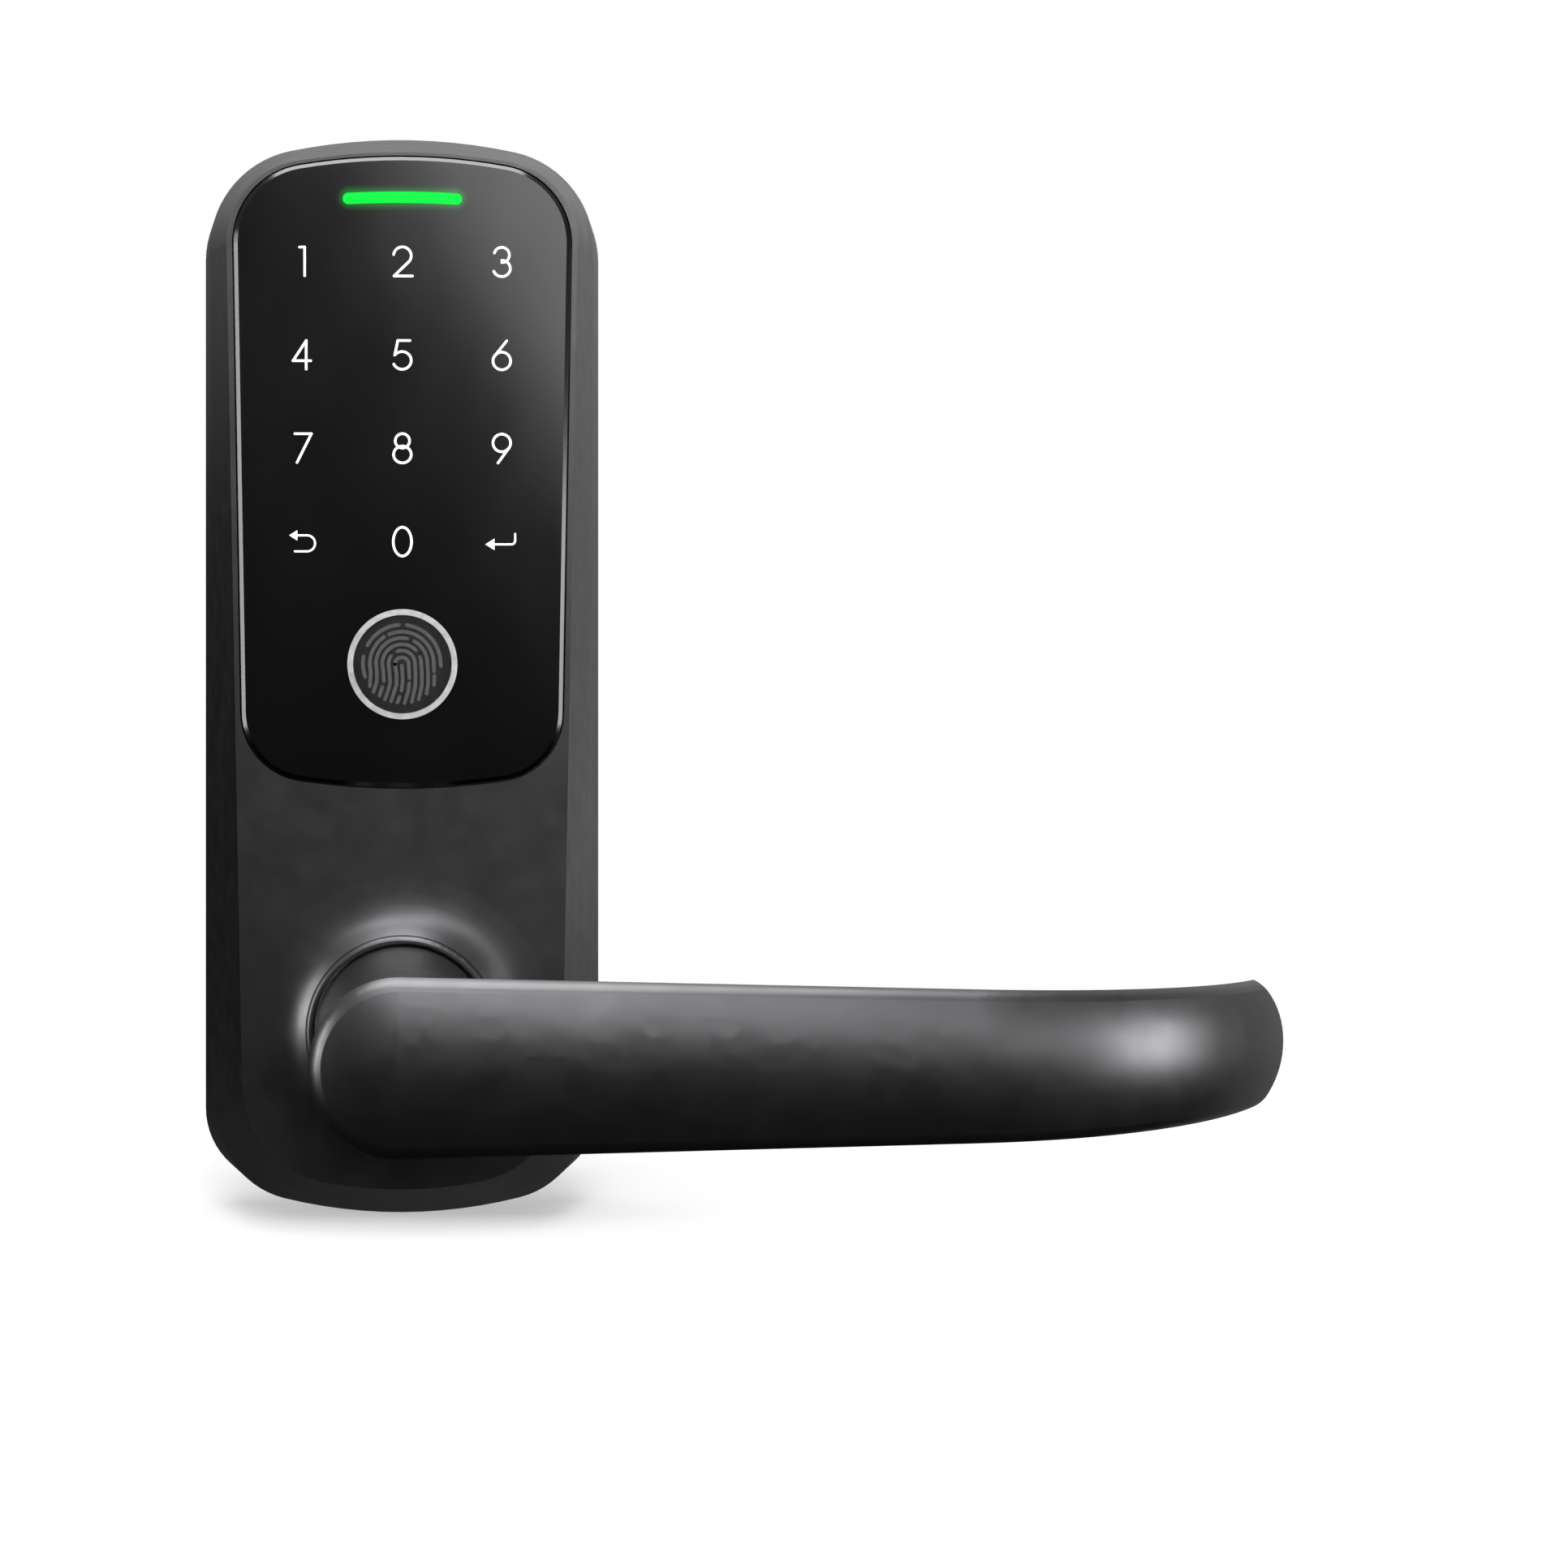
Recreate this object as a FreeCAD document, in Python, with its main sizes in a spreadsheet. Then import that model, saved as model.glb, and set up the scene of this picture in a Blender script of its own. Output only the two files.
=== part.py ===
import FreeCAD, Part
import math
import os
import re

from FreeCAD import Placement, Rotation, Vector

# Outdoor half of a keypad smart lever lock, built as a parametric assembly.
#
# Frame: the origin is where the lever's axis meets the door's face. +X points along the lever, away
# from the door's edge; +Y points into the door; +Z is up. A depth is a distance out of the door, so a
# point at depth d has y = -d. All sizes are in millimetres.

doc = FreeCAD.newDocument("keypad_lever_lock")

# ---------------------------------------------------------------- driving dimensions
SIZES = [
    # casting: back edge, ridge where the bevel starts, and front face
    ("case_half_width", 33.0),
    ("case_top", 143.9),
    ("case_bottom", -32.0),
    ("ridge_half_top", 31.7),
    ("ridge_half_bottom", 29.8),
    ("ridge_depth", 10.0),
    ("face_half_top", 27.8),
    ("face_half_bottom", 24.8),
    ("face_inset_top", 6.3),
    ("face_inset_bottom", 7.0),
    ("face_depth", 26.0),
    ("side_wall", 2.6),
    ("front_wall", 3.4),
    ("swell_radius", 24.0),
    ("swell_height", 3.3),
    # seal against the door
    ("gasket_thickness", 1.0),
    ("gasket_width", 2.2),
    # cover lens and what shines through it
    ("lens_half_top", 26.9),
    ("lens_half_bottom", 25.2),
    ("lens_inset_top", 0.5),
    ("lens_bottom", 37.8),
    ("lens_thickness", 2.4),
    ("lens_proud", 0.6),
    ("lens_gap", 0.3),
    ("lens_chamfer", 0.45),
    ("seal_thickness", 0.4),
    ("seal_width", 1.6),
    ("ledge_width", 3.6),
    ("bar_width", 18.6),
    ("bar_height", 1.7),
    ("bar_level", 130.4),
    ("bar_bend_radius", 150.0),
    ("key_pitch_x", 15.56),
    ("key_pitch_z", 14.6),
    ("key_top_level", 120.3),
    ("key_well_radius", 4.6),
    # fingerprint reader
    ("reader_level", 57.3),
    ("reader_ring_radius", 8.6),
    ("reader_ring_bore", 7.7),
    ("reader_sleeve_wall", 0.4),
    ("reader_ring_proud", 0.5),
    ("reader_body_length", 8.6),
    # circuit board stack
    ("flange_thickness", 1.7),
    ("board_thickness", 1.6),
    ("carrier_thickness", 2.8),
    ("carrier_rail", 6.2),
    ("board_clearance", 0.8),
    ("column_offset", 19.6),
    ("column_radius", 2.4),
    ("column_level_top", 124.0),
    ("column_level_foot", 50.0),
    ("stack_level_top", 108.0),
    ("stack_level_foot", 66.0),
    # rear plate
    ("plate_thickness", 2.0),
    ("plate_recess", 2.4),
    ("plate_clearance", 0.8),
    ("boss_radius", 3.0),
    ("boss_side", 26.6),
    ("pilot_radius", 1.25),
    ("screw_clearance", 0.2),
    ("boss_height", 11.6),
    ("pilot_depth", 8.6),
    ("plate_screw_length", 8.0),
    ("screw_level_top", 126.0),
    ("screw_level_upper", 86.0),
    ("screw_level_lower", 46.0),
    ("screw_level_foot", -14.0),
    # fixing to the door
    ("spigot_radius", 26.5),
    ("spigot_wall", 2.5),
    ("spigot_length", 7.0),
    ("post_spacing", 38.1),
    ("post_radius", 4.5),
    ("post_length", 22.0),
    ("post_hole_radius", 2.1),
    ("post_hole_depth", 18.0),
    ("grommet_bore", 3.5),
    ("grommet_x", -12.5),
    ("grommet_z", 12.5),
    # lever
    ("lever_plane", 65.8),
    ("lever_front", 67.5),
    ("lever_crown", 2.0),
    ("lever_back", 56.4),
    ("lever_end_shift", 0.5),
    ("lever_height", 25.2),
    ("lever_tip_height", 18.4),
    ("lever_band", 1.8),
    ("lever_straight", 80.0),
    ("lever_bend_radius", 62.0),
    ("lever_reach", 133.2),
    ("lever_tip_radius", 11.0),
    ("neck_radius", 13.4),
    ("neck_waist", 12.3),
    ("neck_gap", 0.6),
    ("shank_radius", 10.0),
    ("shank_bore", 8.05),
    ("shank_seat_depth", 40.0),
    ("shank_end_depth", 6.6),
    ("set_screw_depth", 34.0),
    ("bush_wall", 2.5),
    ("barrel_wall", 3.7),
    ("running_gap", 0.05),
    # clutch and drive
    ("clutch_depth", 10.0),
    ("clutch_pin_radius", 1.5),
    ("clutch_travel", 2.6),
    ("pin_spring_wire", 0.5),
    ("pin_spring_pitch", 0.9),
    ("shoe_half_angle", 62.0),
    ("shoe_thickness", 2.0),
    ("stem_half", 5.0),
    ("guide_half", 7.4),
    ("guide_level", 18.9),
    ("guide_thickness", 2.3),
    ("nut_level", 26.0),
    ("nut_height", 5.0),
    ("sleeve_radius", 8.0),
    ("spindle_side", 8.0),
    ("spindle_length", 46.0),
    ("hub_wall", 5.0),
    ("hub_thickness", 2.8),
    ("lug_reach", 3.2),
    ("lug_half_angle", 11.0),
    ("lever_travel", 50.0),
    ("spring_wire", 0.8),
    ("spring_gap", 1.4),
    ("motor_width", 12.0),
    ("motor_thickness", 10.0),
    ("motor_length", 24.0),
    ("motor_level", 36.5),
    ("gearbox_length", 9.0),
    ("bracket_half", 15.5),
    ("bracket_start", 8.5),
    ("bracket_width", 7.0),
    ("motor_screw_offset", 12.5),
    ("screw_radius", 2.4),
]

sheet = doc.addObject("Spreadsheet::Sheet", "sizes")
for row, (alias, value) in enumerate(SIZES, start=1):
    sheet.set(f"A{row}", alias)
    sheet.set(f"B{row}", str(value))
    sheet.setAlias(f"B{row}", alias)
doc.recompute()
NAMES = {alias for alias, _ in SIZES}


gauge = doc.addObject("App::FeaturePython", "gauge")
gauge.addProperty("App::PropertyFloat", "reading")


def linked(formula):
    """A formula of bare aliases, with each alias pointing at its cell of the sheet."""
    return re.sub(r"[a-z_][a-z_0-9]*", lambda m: f"sizes.{m[0]}" if m[0] in NAMES else m[0], str(formula))


def size(formula):
    """The value of a formula of the sheet's cells, for an outline that has to be worked out."""
    gauge.setExpression("reading", linked(formula))
    gauge.recompute()
    return gauge.reading


# ---------------------------------------------------------------- small builders
ALONG_Y = Rotation(Vector(1, 0, 0), -90)
ALONG_X = Rotation(Vector(0, 1, 0), 90)


def bind(thing, **formulas):
    """Binds properties to sheet formulas. base_x, base_y and base_z stand for the place."""
    for name, formula in formulas.items():
        path = f".Placement.Base.{name[-1]}" if name.startswith("base_") else name
        thing.setExpression(path, linked(formula))
    return thing


def rod(name, radius, front, back, x="0", z="0"):
    """A cylinder along Y, from one depth back to another."""
    thing = doc.addObject("Part::Cylinder", name)
    thing.Placement = Placement(Vector(), ALONG_Y)
    return bind(thing, Radius=radius, Height=f"({front}) - ({back})",
                base_x=x, base_y=f"-({front})", base_z=z)


def upright_rod(name, radius, bottom, top, depth, x="0"):
    """A cylinder along Z, between two levels."""
    thing = doc.addObject("Part::Cylinder", name)
    return bind(thing, Radius=radius, Height=f"({top}) - ({bottom})",
                base_x=x, base_y=f"-({depth})", base_z=bottom)


def cross_rod(name, radius, left, right, depth, z="0"):
    """A cylinder along X, between two sides."""
    thing = doc.addObject("Part::Cylinder", name)
    thing.Placement = Placement(Vector(), ALONG_X)
    return bind(thing, Radius=radius, Height=f"({right}) - ({left})",
                base_x=left, base_y=f"-({depth})", base_z=z)


def block(name, left, right, front, back, bottom, top):
    """A box between x, depth and z limits."""
    thing = doc.addObject("Part::Box", name)
    return bind(thing, Length=f"({right}) - ({left})", Width=f"({front}) - ({back})",
                Height=f"({top}) - ({bottom})", base_x=left, base_y=f"-({front})", base_z=bottom)


def cut(name, base, *tools):
    """base less every tool."""
    thing = doc.addObject("Part::Cut", name)
    thing.Base = base
    thing.Tool = tools[0] if len(tools) == 1 else fuse(name + "_tools", *tools)
    return thing


def fuse(name, *shapes):
    """The union of several shapes."""
    thing = doc.addObject("Part::MultiFuse", name)
    thing.Shapes = list(shapes)
    return thing


def common(name, *shapes):
    """What several shapes share."""
    thing = doc.addObject("Part::MultiCommon", name)
    thing.Shapes = list(shapes)
    return thing


def group(name, *shapes):
    """Separate solids that share one node."""
    thing = doc.addObject("Part::Compound", name)
    thing.Links = list(shapes)
    return thing


def ring(name, outer, inner, front, back, x="0", z="0"):
    """A round tube along Y."""
    return cut(name, rod(name + "_outside", outer, front, back, x, z),
               rod(name + "_inside", inner, front, back, x, z))


def feature(name, shape):
    """A shape that Part's own functions made."""
    thing = doc.addObject("Part::Feature", name)
    thing.Shape = shape
    return thing


nodes = []


def node(thing, label):
    """Marks an object as one of the lock's sub-parts."""
    thing.Label = label
    nodes.append(thing)
    return thing


# ---------------------------------------------------------------- outlines
def corner(half_top, half_bottom, top, bottom, crown, radius, at_top):
    """Centre and two touching points of the arc between a crowned end and a leaning side."""
    side = Vector(half_top - half_bottom, 0, top - bottom).normalize()
    inward = Vector(-side.z, 0, side.x)
    start = Vector(half_bottom, 0, bottom) + inward * radius
    end = 1 if at_top else -1
    crown_centre = Vector(0, 0, (top if at_top else bottom) - end * crown)
    offset = start - crown_centre
    along = offset.dot(side)
    spread = math.sqrt(along ** 2 - offset.dot(offset) + (crown - radius) ** 2)
    centre = start + side * (-along + end * spread)
    on_side = centre - inward * radius
    on_crown = crown_centre + (centre - crown_centre) * (crown / (crown - radius))
    middle = centre + ((on_side - centre) + (on_crown - centre)).normalize() * radius
    return on_side, middle, on_crown


def mirrored(point):
    return Vector(-point.x, point.y, point.z)


def outline(half_top, half_bottom, top, bottom, crowns, corners, depth):
    """A closed wire: two leaning sides, four rounded corners and two crowned ends."""
    a_side, a_mid, a_crown = corner(half_top, half_bottom, top, bottom, crowns[0], corners[0], True)
    b_side, b_mid, b_crown = corner(half_top, half_bottom, top, bottom, crowns[1], corners[1], False)
    arc = Part.Arc
    edges = [
        arc(mirrored(a_crown), Vector(0, 0, top), a_crown),
        arc(a_crown, a_mid, a_side),
        Part.LineSegment(a_side, b_side),
        arc(b_side, b_mid, b_crown),
        arc(b_crown, Vector(0, 0, bottom), mirrored(b_crown)),
        arc(mirrored(b_crown), mirrored(b_mid), mirrored(b_side)),
        Part.LineSegment(mirrored(b_side), mirrored(a_side)),
        arc(mirrored(a_side), mirrored(a_mid), mirrored(a_crown)),
    ]
    wire = Part.Wire([edge.toShape() for edge in edges])
    wire.translate(Vector(0, -depth, 0))
    return wire


BACK_CROWNS, BACK_CORNERS = (90.0, 80.0), (16.0, 12.5)
RIDGE_CROWNS, RIDGE_CORNERS = (90.0, 80.0), (16.5, 14.0)
FACE_CROWNS, FACE_CORNERS = (95.0, 65.0), (13.0, 16.0)
LENS_CROWNS, LENS_CORNERS = (95.0, 110.0), (12.5, 11.0)


def back_outline(inset, depth):
    half = size("case_half_width") - inset
    return outline(half, half, size("case_top") - inset, size("case_bottom") + inset,
                   [c - inset for c in BACK_CROWNS], [c - inset for c in BACK_CORNERS], depth)


def ridge_outline(inset, depth):
    return outline(size("ridge_half_top") - inset, size("ridge_half_bottom") - inset,
                   size("case_top") - inset, size("case_bottom") + inset,
                   [c - inset for c in RIDGE_CROWNS], [c - inset for c in RIDGE_CORNERS], depth)


def face_outline(inset, depth):
    return outline(size("face_half_top") - inset, size("face_half_bottom") - inset,
                   size("case_top - face_inset_top") - inset,
                   size("case_bottom + face_inset_bottom") + inset,
                   [c - inset for c in FACE_CROWNS], [c - inset for c in FACE_CORNERS], depth)


def lens_outline(inset, depth):
    return outline(size("lens_half_top") - inset, size("lens_half_bottom") - inset,
                   size("case_top - face_inset_top - lens_inset_top") - inset,
                   size("lens_bottom") + inset,
                   [c - inset for c in LENS_CROWNS], [c - inset for c in LENS_CORNERS], depth)


def loft(name, *wires):
    """A ruled solid through wires."""
    thing = doc.addObject("Part::Loft", name)
    thing.Sections = [feature(f"{name}_section_{i}", wire) for i, wire in enumerate(wires)]
    thing.Solid = True
    thing.Ruled = True
    return thing


def slab(name, wire, thickness):
    """A wire's face, drawn out towards the front."""
    thing = doc.addObject("Part::Extrusion", name)
    thing.Base = feature(name + "_outline", wire)
    thing.DirMode = "Custom"
    thing.Dir = Vector(0, -1, 0)
    thing.Solid = True
    return bind(thing, LengthFwd=thickness)


# ---------------------------------------------------------------- depths that several pieces share
PLATE_BACK = "plate_recess"
PLATE_FRONT = "(plate_recess + plate_thickness)"
CAVITY = "(face_depth - front_wall)"
LEDGE = "(face_depth + lens_proud - lens_thickness - seal_thickness)"
LENS_BACK = "(face_depth + lens_proud - lens_thickness)"
LENS_FRONT = "(face_depth + lens_proud)"
BOARD_FRONT = f"({CAVITY} - 0.1 - flange_thickness)"
BOARD_BACK = f"({BOARD_FRONT} - board_thickness)"
CARRIER_BACK = f"({BOARD_BACK} - carrier_thickness)"
COLLAR_FRONT = "(face_depth + swell_height)"
BOSS_BACK = f"({CAVITY} - 5.0)"

# radii about the lever's axis, from the shank outwards
BUSH = "(shank_radius + bush_wall)"
BARREL = f"({BUSH} + barrel_wall)"
COIL = f"({BARREL} + spring_gap + spring_wire)"
HUB = "(shank_radius + hub_wall)"
LUG_TIP = f"({COIL} + lug_reach)"

# places on the XZ plane that several pieces share, as formulas
SCREW_LEVELS = [f"screw_level_{place}" for place in ("top", "upper", "lower", "foot")]
PLATE_SCREWS = [(f"{sign}boss_side", z) for z in SCREW_LEVELS for sign in ("", "-")]
COLUMNS = ["-column_offset", "column_offset"]
CARRIER_COLUMNS = [(x, z) for z in ("column_level_top", "column_level_foot") for x in COLUMNS]
STACK_SCREWS = [(x, z) for z in ("stack_level_top", "stack_level_foot") for x in COLUMNS]
KEYS = [(f"{i} * key_pitch_x", f"key_top_level - {j} * key_pitch_z")
        for j in range(4) for i in (-1, 0, 1)]


# ---------------------------------------------------------------- escutcheon
def swell():
    """The soft rise of the front face up to the collar round the lever's neck."""
    collar = size("neck_radius + neck_gap")
    face, top = size("face_depth"), size(COLLAR_FRONT)
    reach = size("swell_radius")
    lip = 1.1
    rise = Part.BezierCurve()
    rise.setPoles([Vector(reach, -face, 0), Vector(reach - 5, -face, 0),
                   Vector(collar + lip + 2.4, -(face + 0.4), 0), Vector(collar + lip, -(top - lip), 0)])
    edges = [
        Part.LineSegment(Vector(0, -face + 2, 0), Vector(reach, -face + 2, 0)).toShape(),
        Part.LineSegment(Vector(reach, -face + 2, 0), Vector(reach, -face, 0)).toShape(),
        rise.toShape(),
        Part.Arc(Vector(collar + lip, -(top - lip), 0),
                 Vector(collar + lip * 0.78, -(top - lip * 0.28), 0),
                 Vector(collar + 0.35, -top, 0)).toShape(),
        Part.LineSegment(Vector(collar + 0.35, -top, 0), Vector(0, -top, 0)).toShape(),
        Part.LineSegment(Vector(0, -top, 0), Vector(0, -face + 2, 0)).toShape(),
    ]
    profile = Part.Face(Part.Wire(edges))
    return feature("swell", profile.revolve(Vector(), Vector(0, 1, 0), 360))


def build_escutcheon():
    outside = loft("case_outside", back_outline(0, size("gasket_thickness")),
                   ridge_outline(0, size("ridge_depth")), face_outline(0, size("face_depth")))
    wall = size("side_wall")
    inside = loft("case_inside", back_outline(wall, size("gasket_thickness")),
                  ridge_outline(wall, size("ridge_depth")), face_outline(wall, size(CAVITY)))
    bosses = [rod(f"boss_{i}", "boss_radius", f"{PLATE_FRONT} + boss_height", PLATE_FRONT, x, z)
              for i, (x, z) in enumerate(PLATE_SCREWS)]
    shell = cut("case_shell", fuse("case_solid", outside, swell()), inside)
    barrel = rod("bush_boss", BARREL, f"{CAVITY} + 1", BOSS_BACK)
    inner = fuse("case_with_bosses", shell, common("bosses_in_case", fuse("bosses", *bosses), outside), barrel)
    pilots = [rod(f"pilot_{i}", "pilot_radius", f"{PLATE_FRONT} + pilot_depth", PLATE_FRONT, x, z)
              for i, (x, z) in enumerate(PLATE_SCREWS)]
    recess = slab("lens_recess", lens_outline(0, size(LEDGE)), "face_depth")
    window = slab("lens_window", lens_outline(size("ledge_width"), size(CAVITY) - 2), "face_depth")
    collar = rod("collar_bore", "neck_radius + neck_gap", f"{COLLAR_FRONT} + 1", "face_depth - 1.8")
    seat = rod("bush_seat", BUSH, "face_depth", f"{BOSS_BACK} - 1")
    return node(cut("escutcheon", inner, recess, window, collar, seat, *pilots), "escutcheon")


build_escutcheon()


# ---------------------------------------------------------------- seal against the door
node(cut("door_gasket", slab("gasket_outside", back_outline(0.3, 0), "gasket_thickness"),
         slab("gasket_inside", back_outline(size("gasket_width"), 0), "gasket_thickness")),
     "door_gasket")


# ---------------------------------------------------------------- cover lens, light bar, reader
def bar_wire(grow, depth):
    """The slightly arched slot of the light bar."""
    half = size("bar_height") / 2 + grow
    bend = size("bar_bend_radius")
    turn = (size("bar_width - bar_height") / 2) / bend
    centre = Vector(0, -depth, size("bar_level") - bend)

    def at(radius, angle):
        return centre + Vector(radius * math.sin(angle), 0, radius * math.cos(angle))

    def cap(angle, side):
        middle = at(bend, angle) + Vector(side * half * math.cos(angle), 0, -side * half * math.sin(angle))
        return Part.Arc(at(bend + side * half, angle), middle, at(bend - side * half, angle)).toShape()

    top = Part.Arc(at(bend + half, -turn), at(bend + half, 0), at(bend + half, turn)).toShape()
    bottom = Part.Arc(at(bend - half, turn), at(bend - half, 0), at(bend - half, -turn)).toShape()
    return Part.Wire([top, cap(turn, 1), bottom, cap(-turn, -1)])


READER = "reader_level"
SLEEVE = "reader_ring_bore + reader_sleeve_wall"


def build_lens():
    blank = slab("lens_blank", lens_outline(size("lens_gap"), size(LENS_BACK)), "lens_thickness")
    doc.recompute()
    front = -size(LENS_FRONT)
    rim = [i for i, edge in enumerate(blank.Shape.Edges, start=1)
           if all(abs(v.Point.y - front) < 1e-6 for v in edge.Vertexes)]
    edged = doc.addObject("Part::Chamfer", "lens_edged")
    edged.Base = blank
    edged.Edges = [(i, size("lens_chamfer"), size("lens_chamfer") * 1.4) for i in rim]
    hole = rod("reader_hole", f"{SLEEVE} + running_gap", f"{LENS_FRONT} + 1", f"{LENS_BACK} - 1", z=READER)
    slot = slab("bar_slot", bar_wire(0.05, size(LENS_BACK) - 1), "lens_thickness + 2")
    return node(cut("cover_lens", edged, hole, slot), "cover_lens")


build_lens()
node(cut("lens_seal", slab("seal_outside", lens_outline(size("lens_gap"), size(LEDGE)), "seal_thickness"),
         slab("seal_inside", lens_outline(size("lens_gap + seal_width"), size(LEDGE)), "seal_thickness")),
     "lens_seal")
node(slab("light_bar", bar_wire(0, size(BOARD_FRONT) + 1.2),
          f"{LENS_FRONT} + 0.05 - {BOARD_FRONT} - 1.2"), "light_bar")

node(fuse("reader_ring",
          ring("reader_flange", "reader_ring_radius", "reader_ring_bore",
               f"{LENS_FRONT} + reader_ring_proud", LENS_FRONT, z=READER),
          ring("reader_sleeve", SLEEVE, "reader_ring_bore", LENS_FRONT, f"{LENS_BACK} - 0.6", z=READER)),
     "reader_ring")
node(rod("reader_pad", "reader_ring_bore - 0.1", f"{LENS_FRONT} + 0.2", f"{LENS_FRONT} - 1.2", z=READER),
     "reader_pad")
node(rod("reader_module", "reader_ring_bore - 0.2", f"{LENS_FRONT} - 1.2",
         f"{LENS_FRONT} - 1.2 - reader_body_length", z=READER), "reader_module")
node(ring("reader_clip", "reader_ring_bore + 1.8", "reader_ring_bore - 0.2", BOARD_BACK,
          f"{BOARD_BACK} - 1.0", z=READER), "reader_clip")


# ---------------------------------------------------------------- light guide, board and carrier
def build_light_guide():
    flange = slab("guide_flange", lens_outline(size("ledge_width - 1.2"), size(BOARD_FRONT)),
                  "flange_thickness")
    nose = slab("guide_nose", lens_outline(size("ledge_width + 0.4"), size(BOARD_FRONT)),
                f"{LENS_BACK} - 0.2 - {BOARD_FRONT}")
    front, back = LENS_FRONT, f"{BOARD_FRONT} - 1"
    wells = [rod(f"key_well_{i}", "key_well_radius", front, back, x, z) for i, (x, z) in enumerate(KEYS)]
    reader = rod("guide_reader_hole", f"{SLEEVE} + 0.3", front, back, z=READER)
    bar = slab("guide_bar_slot", bar_wire(0.1, size(BOARD_FRONT) - 1), "6")
    pilots = [rod(f"guide_pilot_{i}", "0.8", f"{BOARD_FRONT} + 2.6", back, x, z)
              for i, (x, z) in enumerate(STACK_SCREWS)]
    return node(cut("light_guide", fuse("guide_solid", flange, nose), reader, bar, *wells, *pilots),
                "light_guide")


def build_board():
    blank = slab("board_blank", lens_outline(size("ledge_width + board_clearance"), size(BOARD_BACK)),
                 "board_thickness")
    hole = rod("board_reader_hole", "reader_ring_bore + 0.1", f"{BOARD_FRONT} + 1",
               f"{BOARD_BACK} - 1", z=READER)
    screws = [rod(f"board_hole_{i}", "1.1", f"{BOARD_FRONT} + 1", f"{BOARD_BACK} - 1", x, z)
              for i, (x, z) in enumerate(STACK_SCREWS)]
    return node(cut("touch_board", blank, hole, *screws), "touch_board")


def build_carrier():
    inset = size("ledge_width + board_clearance")
    blank = slab("carrier_blank", lens_outline(inset, size(CARRIER_BACK)), "carrier_thickness")
    hollow = slab("carrier_hollow", lens_outline(inset + size("carrier_rail"), size(CARRIER_BACK) - 1), "6")
    columns = [rod(f"carrier_column_{i}", "column_radius", f"{CARRIER_BACK} + 0.5", PLATE_FRONT, x, z)
               for i, (x, z) in enumerate(CARRIER_COLUMNS)]
    holes = [rod(f"carrier_hole_{i}", "1.1", f"{BOARD_BACK} + 1", f"{CARRIER_BACK} - 1", x, z)
             for i, (x, z) in enumerate(STACK_SCREWS)]
    reader = rod("carrier_reader_hole", "reader_ring_bore + 2.1", f"{BOARD_BACK} + 1",
                 f"{CARRIER_BACK} - 1", z=READER)
    return node(cut("board_carrier", fuse("carrier_solid", blank, *columns), hollow, reader, *holes),
                "board_carrier")


build_light_guide()
build_board()
build_carrier()


def chip(name, x, z, width, height, back, front):
    """A square component centred on a place of the board."""
    return block(name, f"{x} - {width / 2}", f"{x} + {width / 2}", front, back,
                 f"{z} - {height / 2}", f"{z} + {height / 2}")


lamps = [chip(f"key_lamp_{i}", x, z, 1.6, 1.0, BOARD_FRONT, f"{BOARD_FRONT} + 0.6")
         for i, (x, z) in enumerate(KEYS)]
lamps += [chip(f"bar_lamp_{i}", x, "bar_level - 0.15", 1.6, 1.0, BOARD_FRONT, f"{BOARD_FRONT} + 0.6")
          for i, x in enumerate((-6, 0, 6))]
node(group("board_lamps", *lamps), "board_lamps")

BACK_CHIPS = [("touch_chip", -7.0, 96.0, 7.0, 7.0, 0.9), ("radio_can", 4.0, 112.0, 12.0, 10.0, 1.6),
              ("memory_chip", 7.5, 96.0, 5.0, 4.0, 0.8), ("power_chip", -8.0, 84.0, 4.0, 5.0, 0.9)]
node(group("board_chips", *[chip(name, x, z, w, h, f"{BOARD_BACK} - {t}", BOARD_BACK)
                            for name, x, z, w, h, t in BACK_CHIPS]), "board_chips")
node(rod("buzzer", "4.5", BOARD_BACK, f"{BOARD_BACK} - 3.0", "6", "84"), "buzzer")
node(cut("cable_socket", block("socket_body", "-12", "-2", BOARD_BACK, f"{BOARD_BACK} - 3.6", "72.5", "77.5"),
         block("socket_mouth", "-11", "-3", f"{BOARD_BACK} - 0.8", f"{BOARD_BACK} - 3.0", "72", "76.5")),
     "cable_socket")


# ---------------------------------------------------------------- fasteners
def pan_screw(name, x, z, seat, head_radius, head_height, shank_radius, length):
    """A pan head screw driven from the back: its head lies behind the seat depth."""
    head = rod(name + "_head", head_radius, seat, f"{seat} - {head_height}", x, z)
    shank = rod(name + "_shank", shank_radius, f"{seat} + {length}", f"{seat}", x, z)
    slots = [block(f"{name}_slot_{i}", f"{x} - {a}", f"{x} + {a}", f"{seat} - {head_height * 0.45}",
                   f"{seat} - {head_height + 1}", f"{z} - {b}", f"{z} + {b}")
             for i, (a, b) in enumerate(((head_radius * 0.6, 0.25), (0.25, head_radius * 0.6)))]
    return cut(name, fuse(name + "_solid", head, shank), *slots)


node(group("plate_screws", *[pan_screw(f"plate_screw_{i}", x, z, PLATE_BACK, 2.6, 1.6, 1.25,
                                       size("plate_screw_length"))
                             for i, (x, z) in enumerate(PLATE_SCREWS)]), "plate_screws")
node(group("stack_screws", *[pan_screw(f"stack_screw_{i}", x, z, CARRIER_BACK, 1.8, 1.2, 0.8, 6.4)
                             for i, (x, z) in enumerate(STACK_SCREWS)]), "stack_screws")

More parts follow.
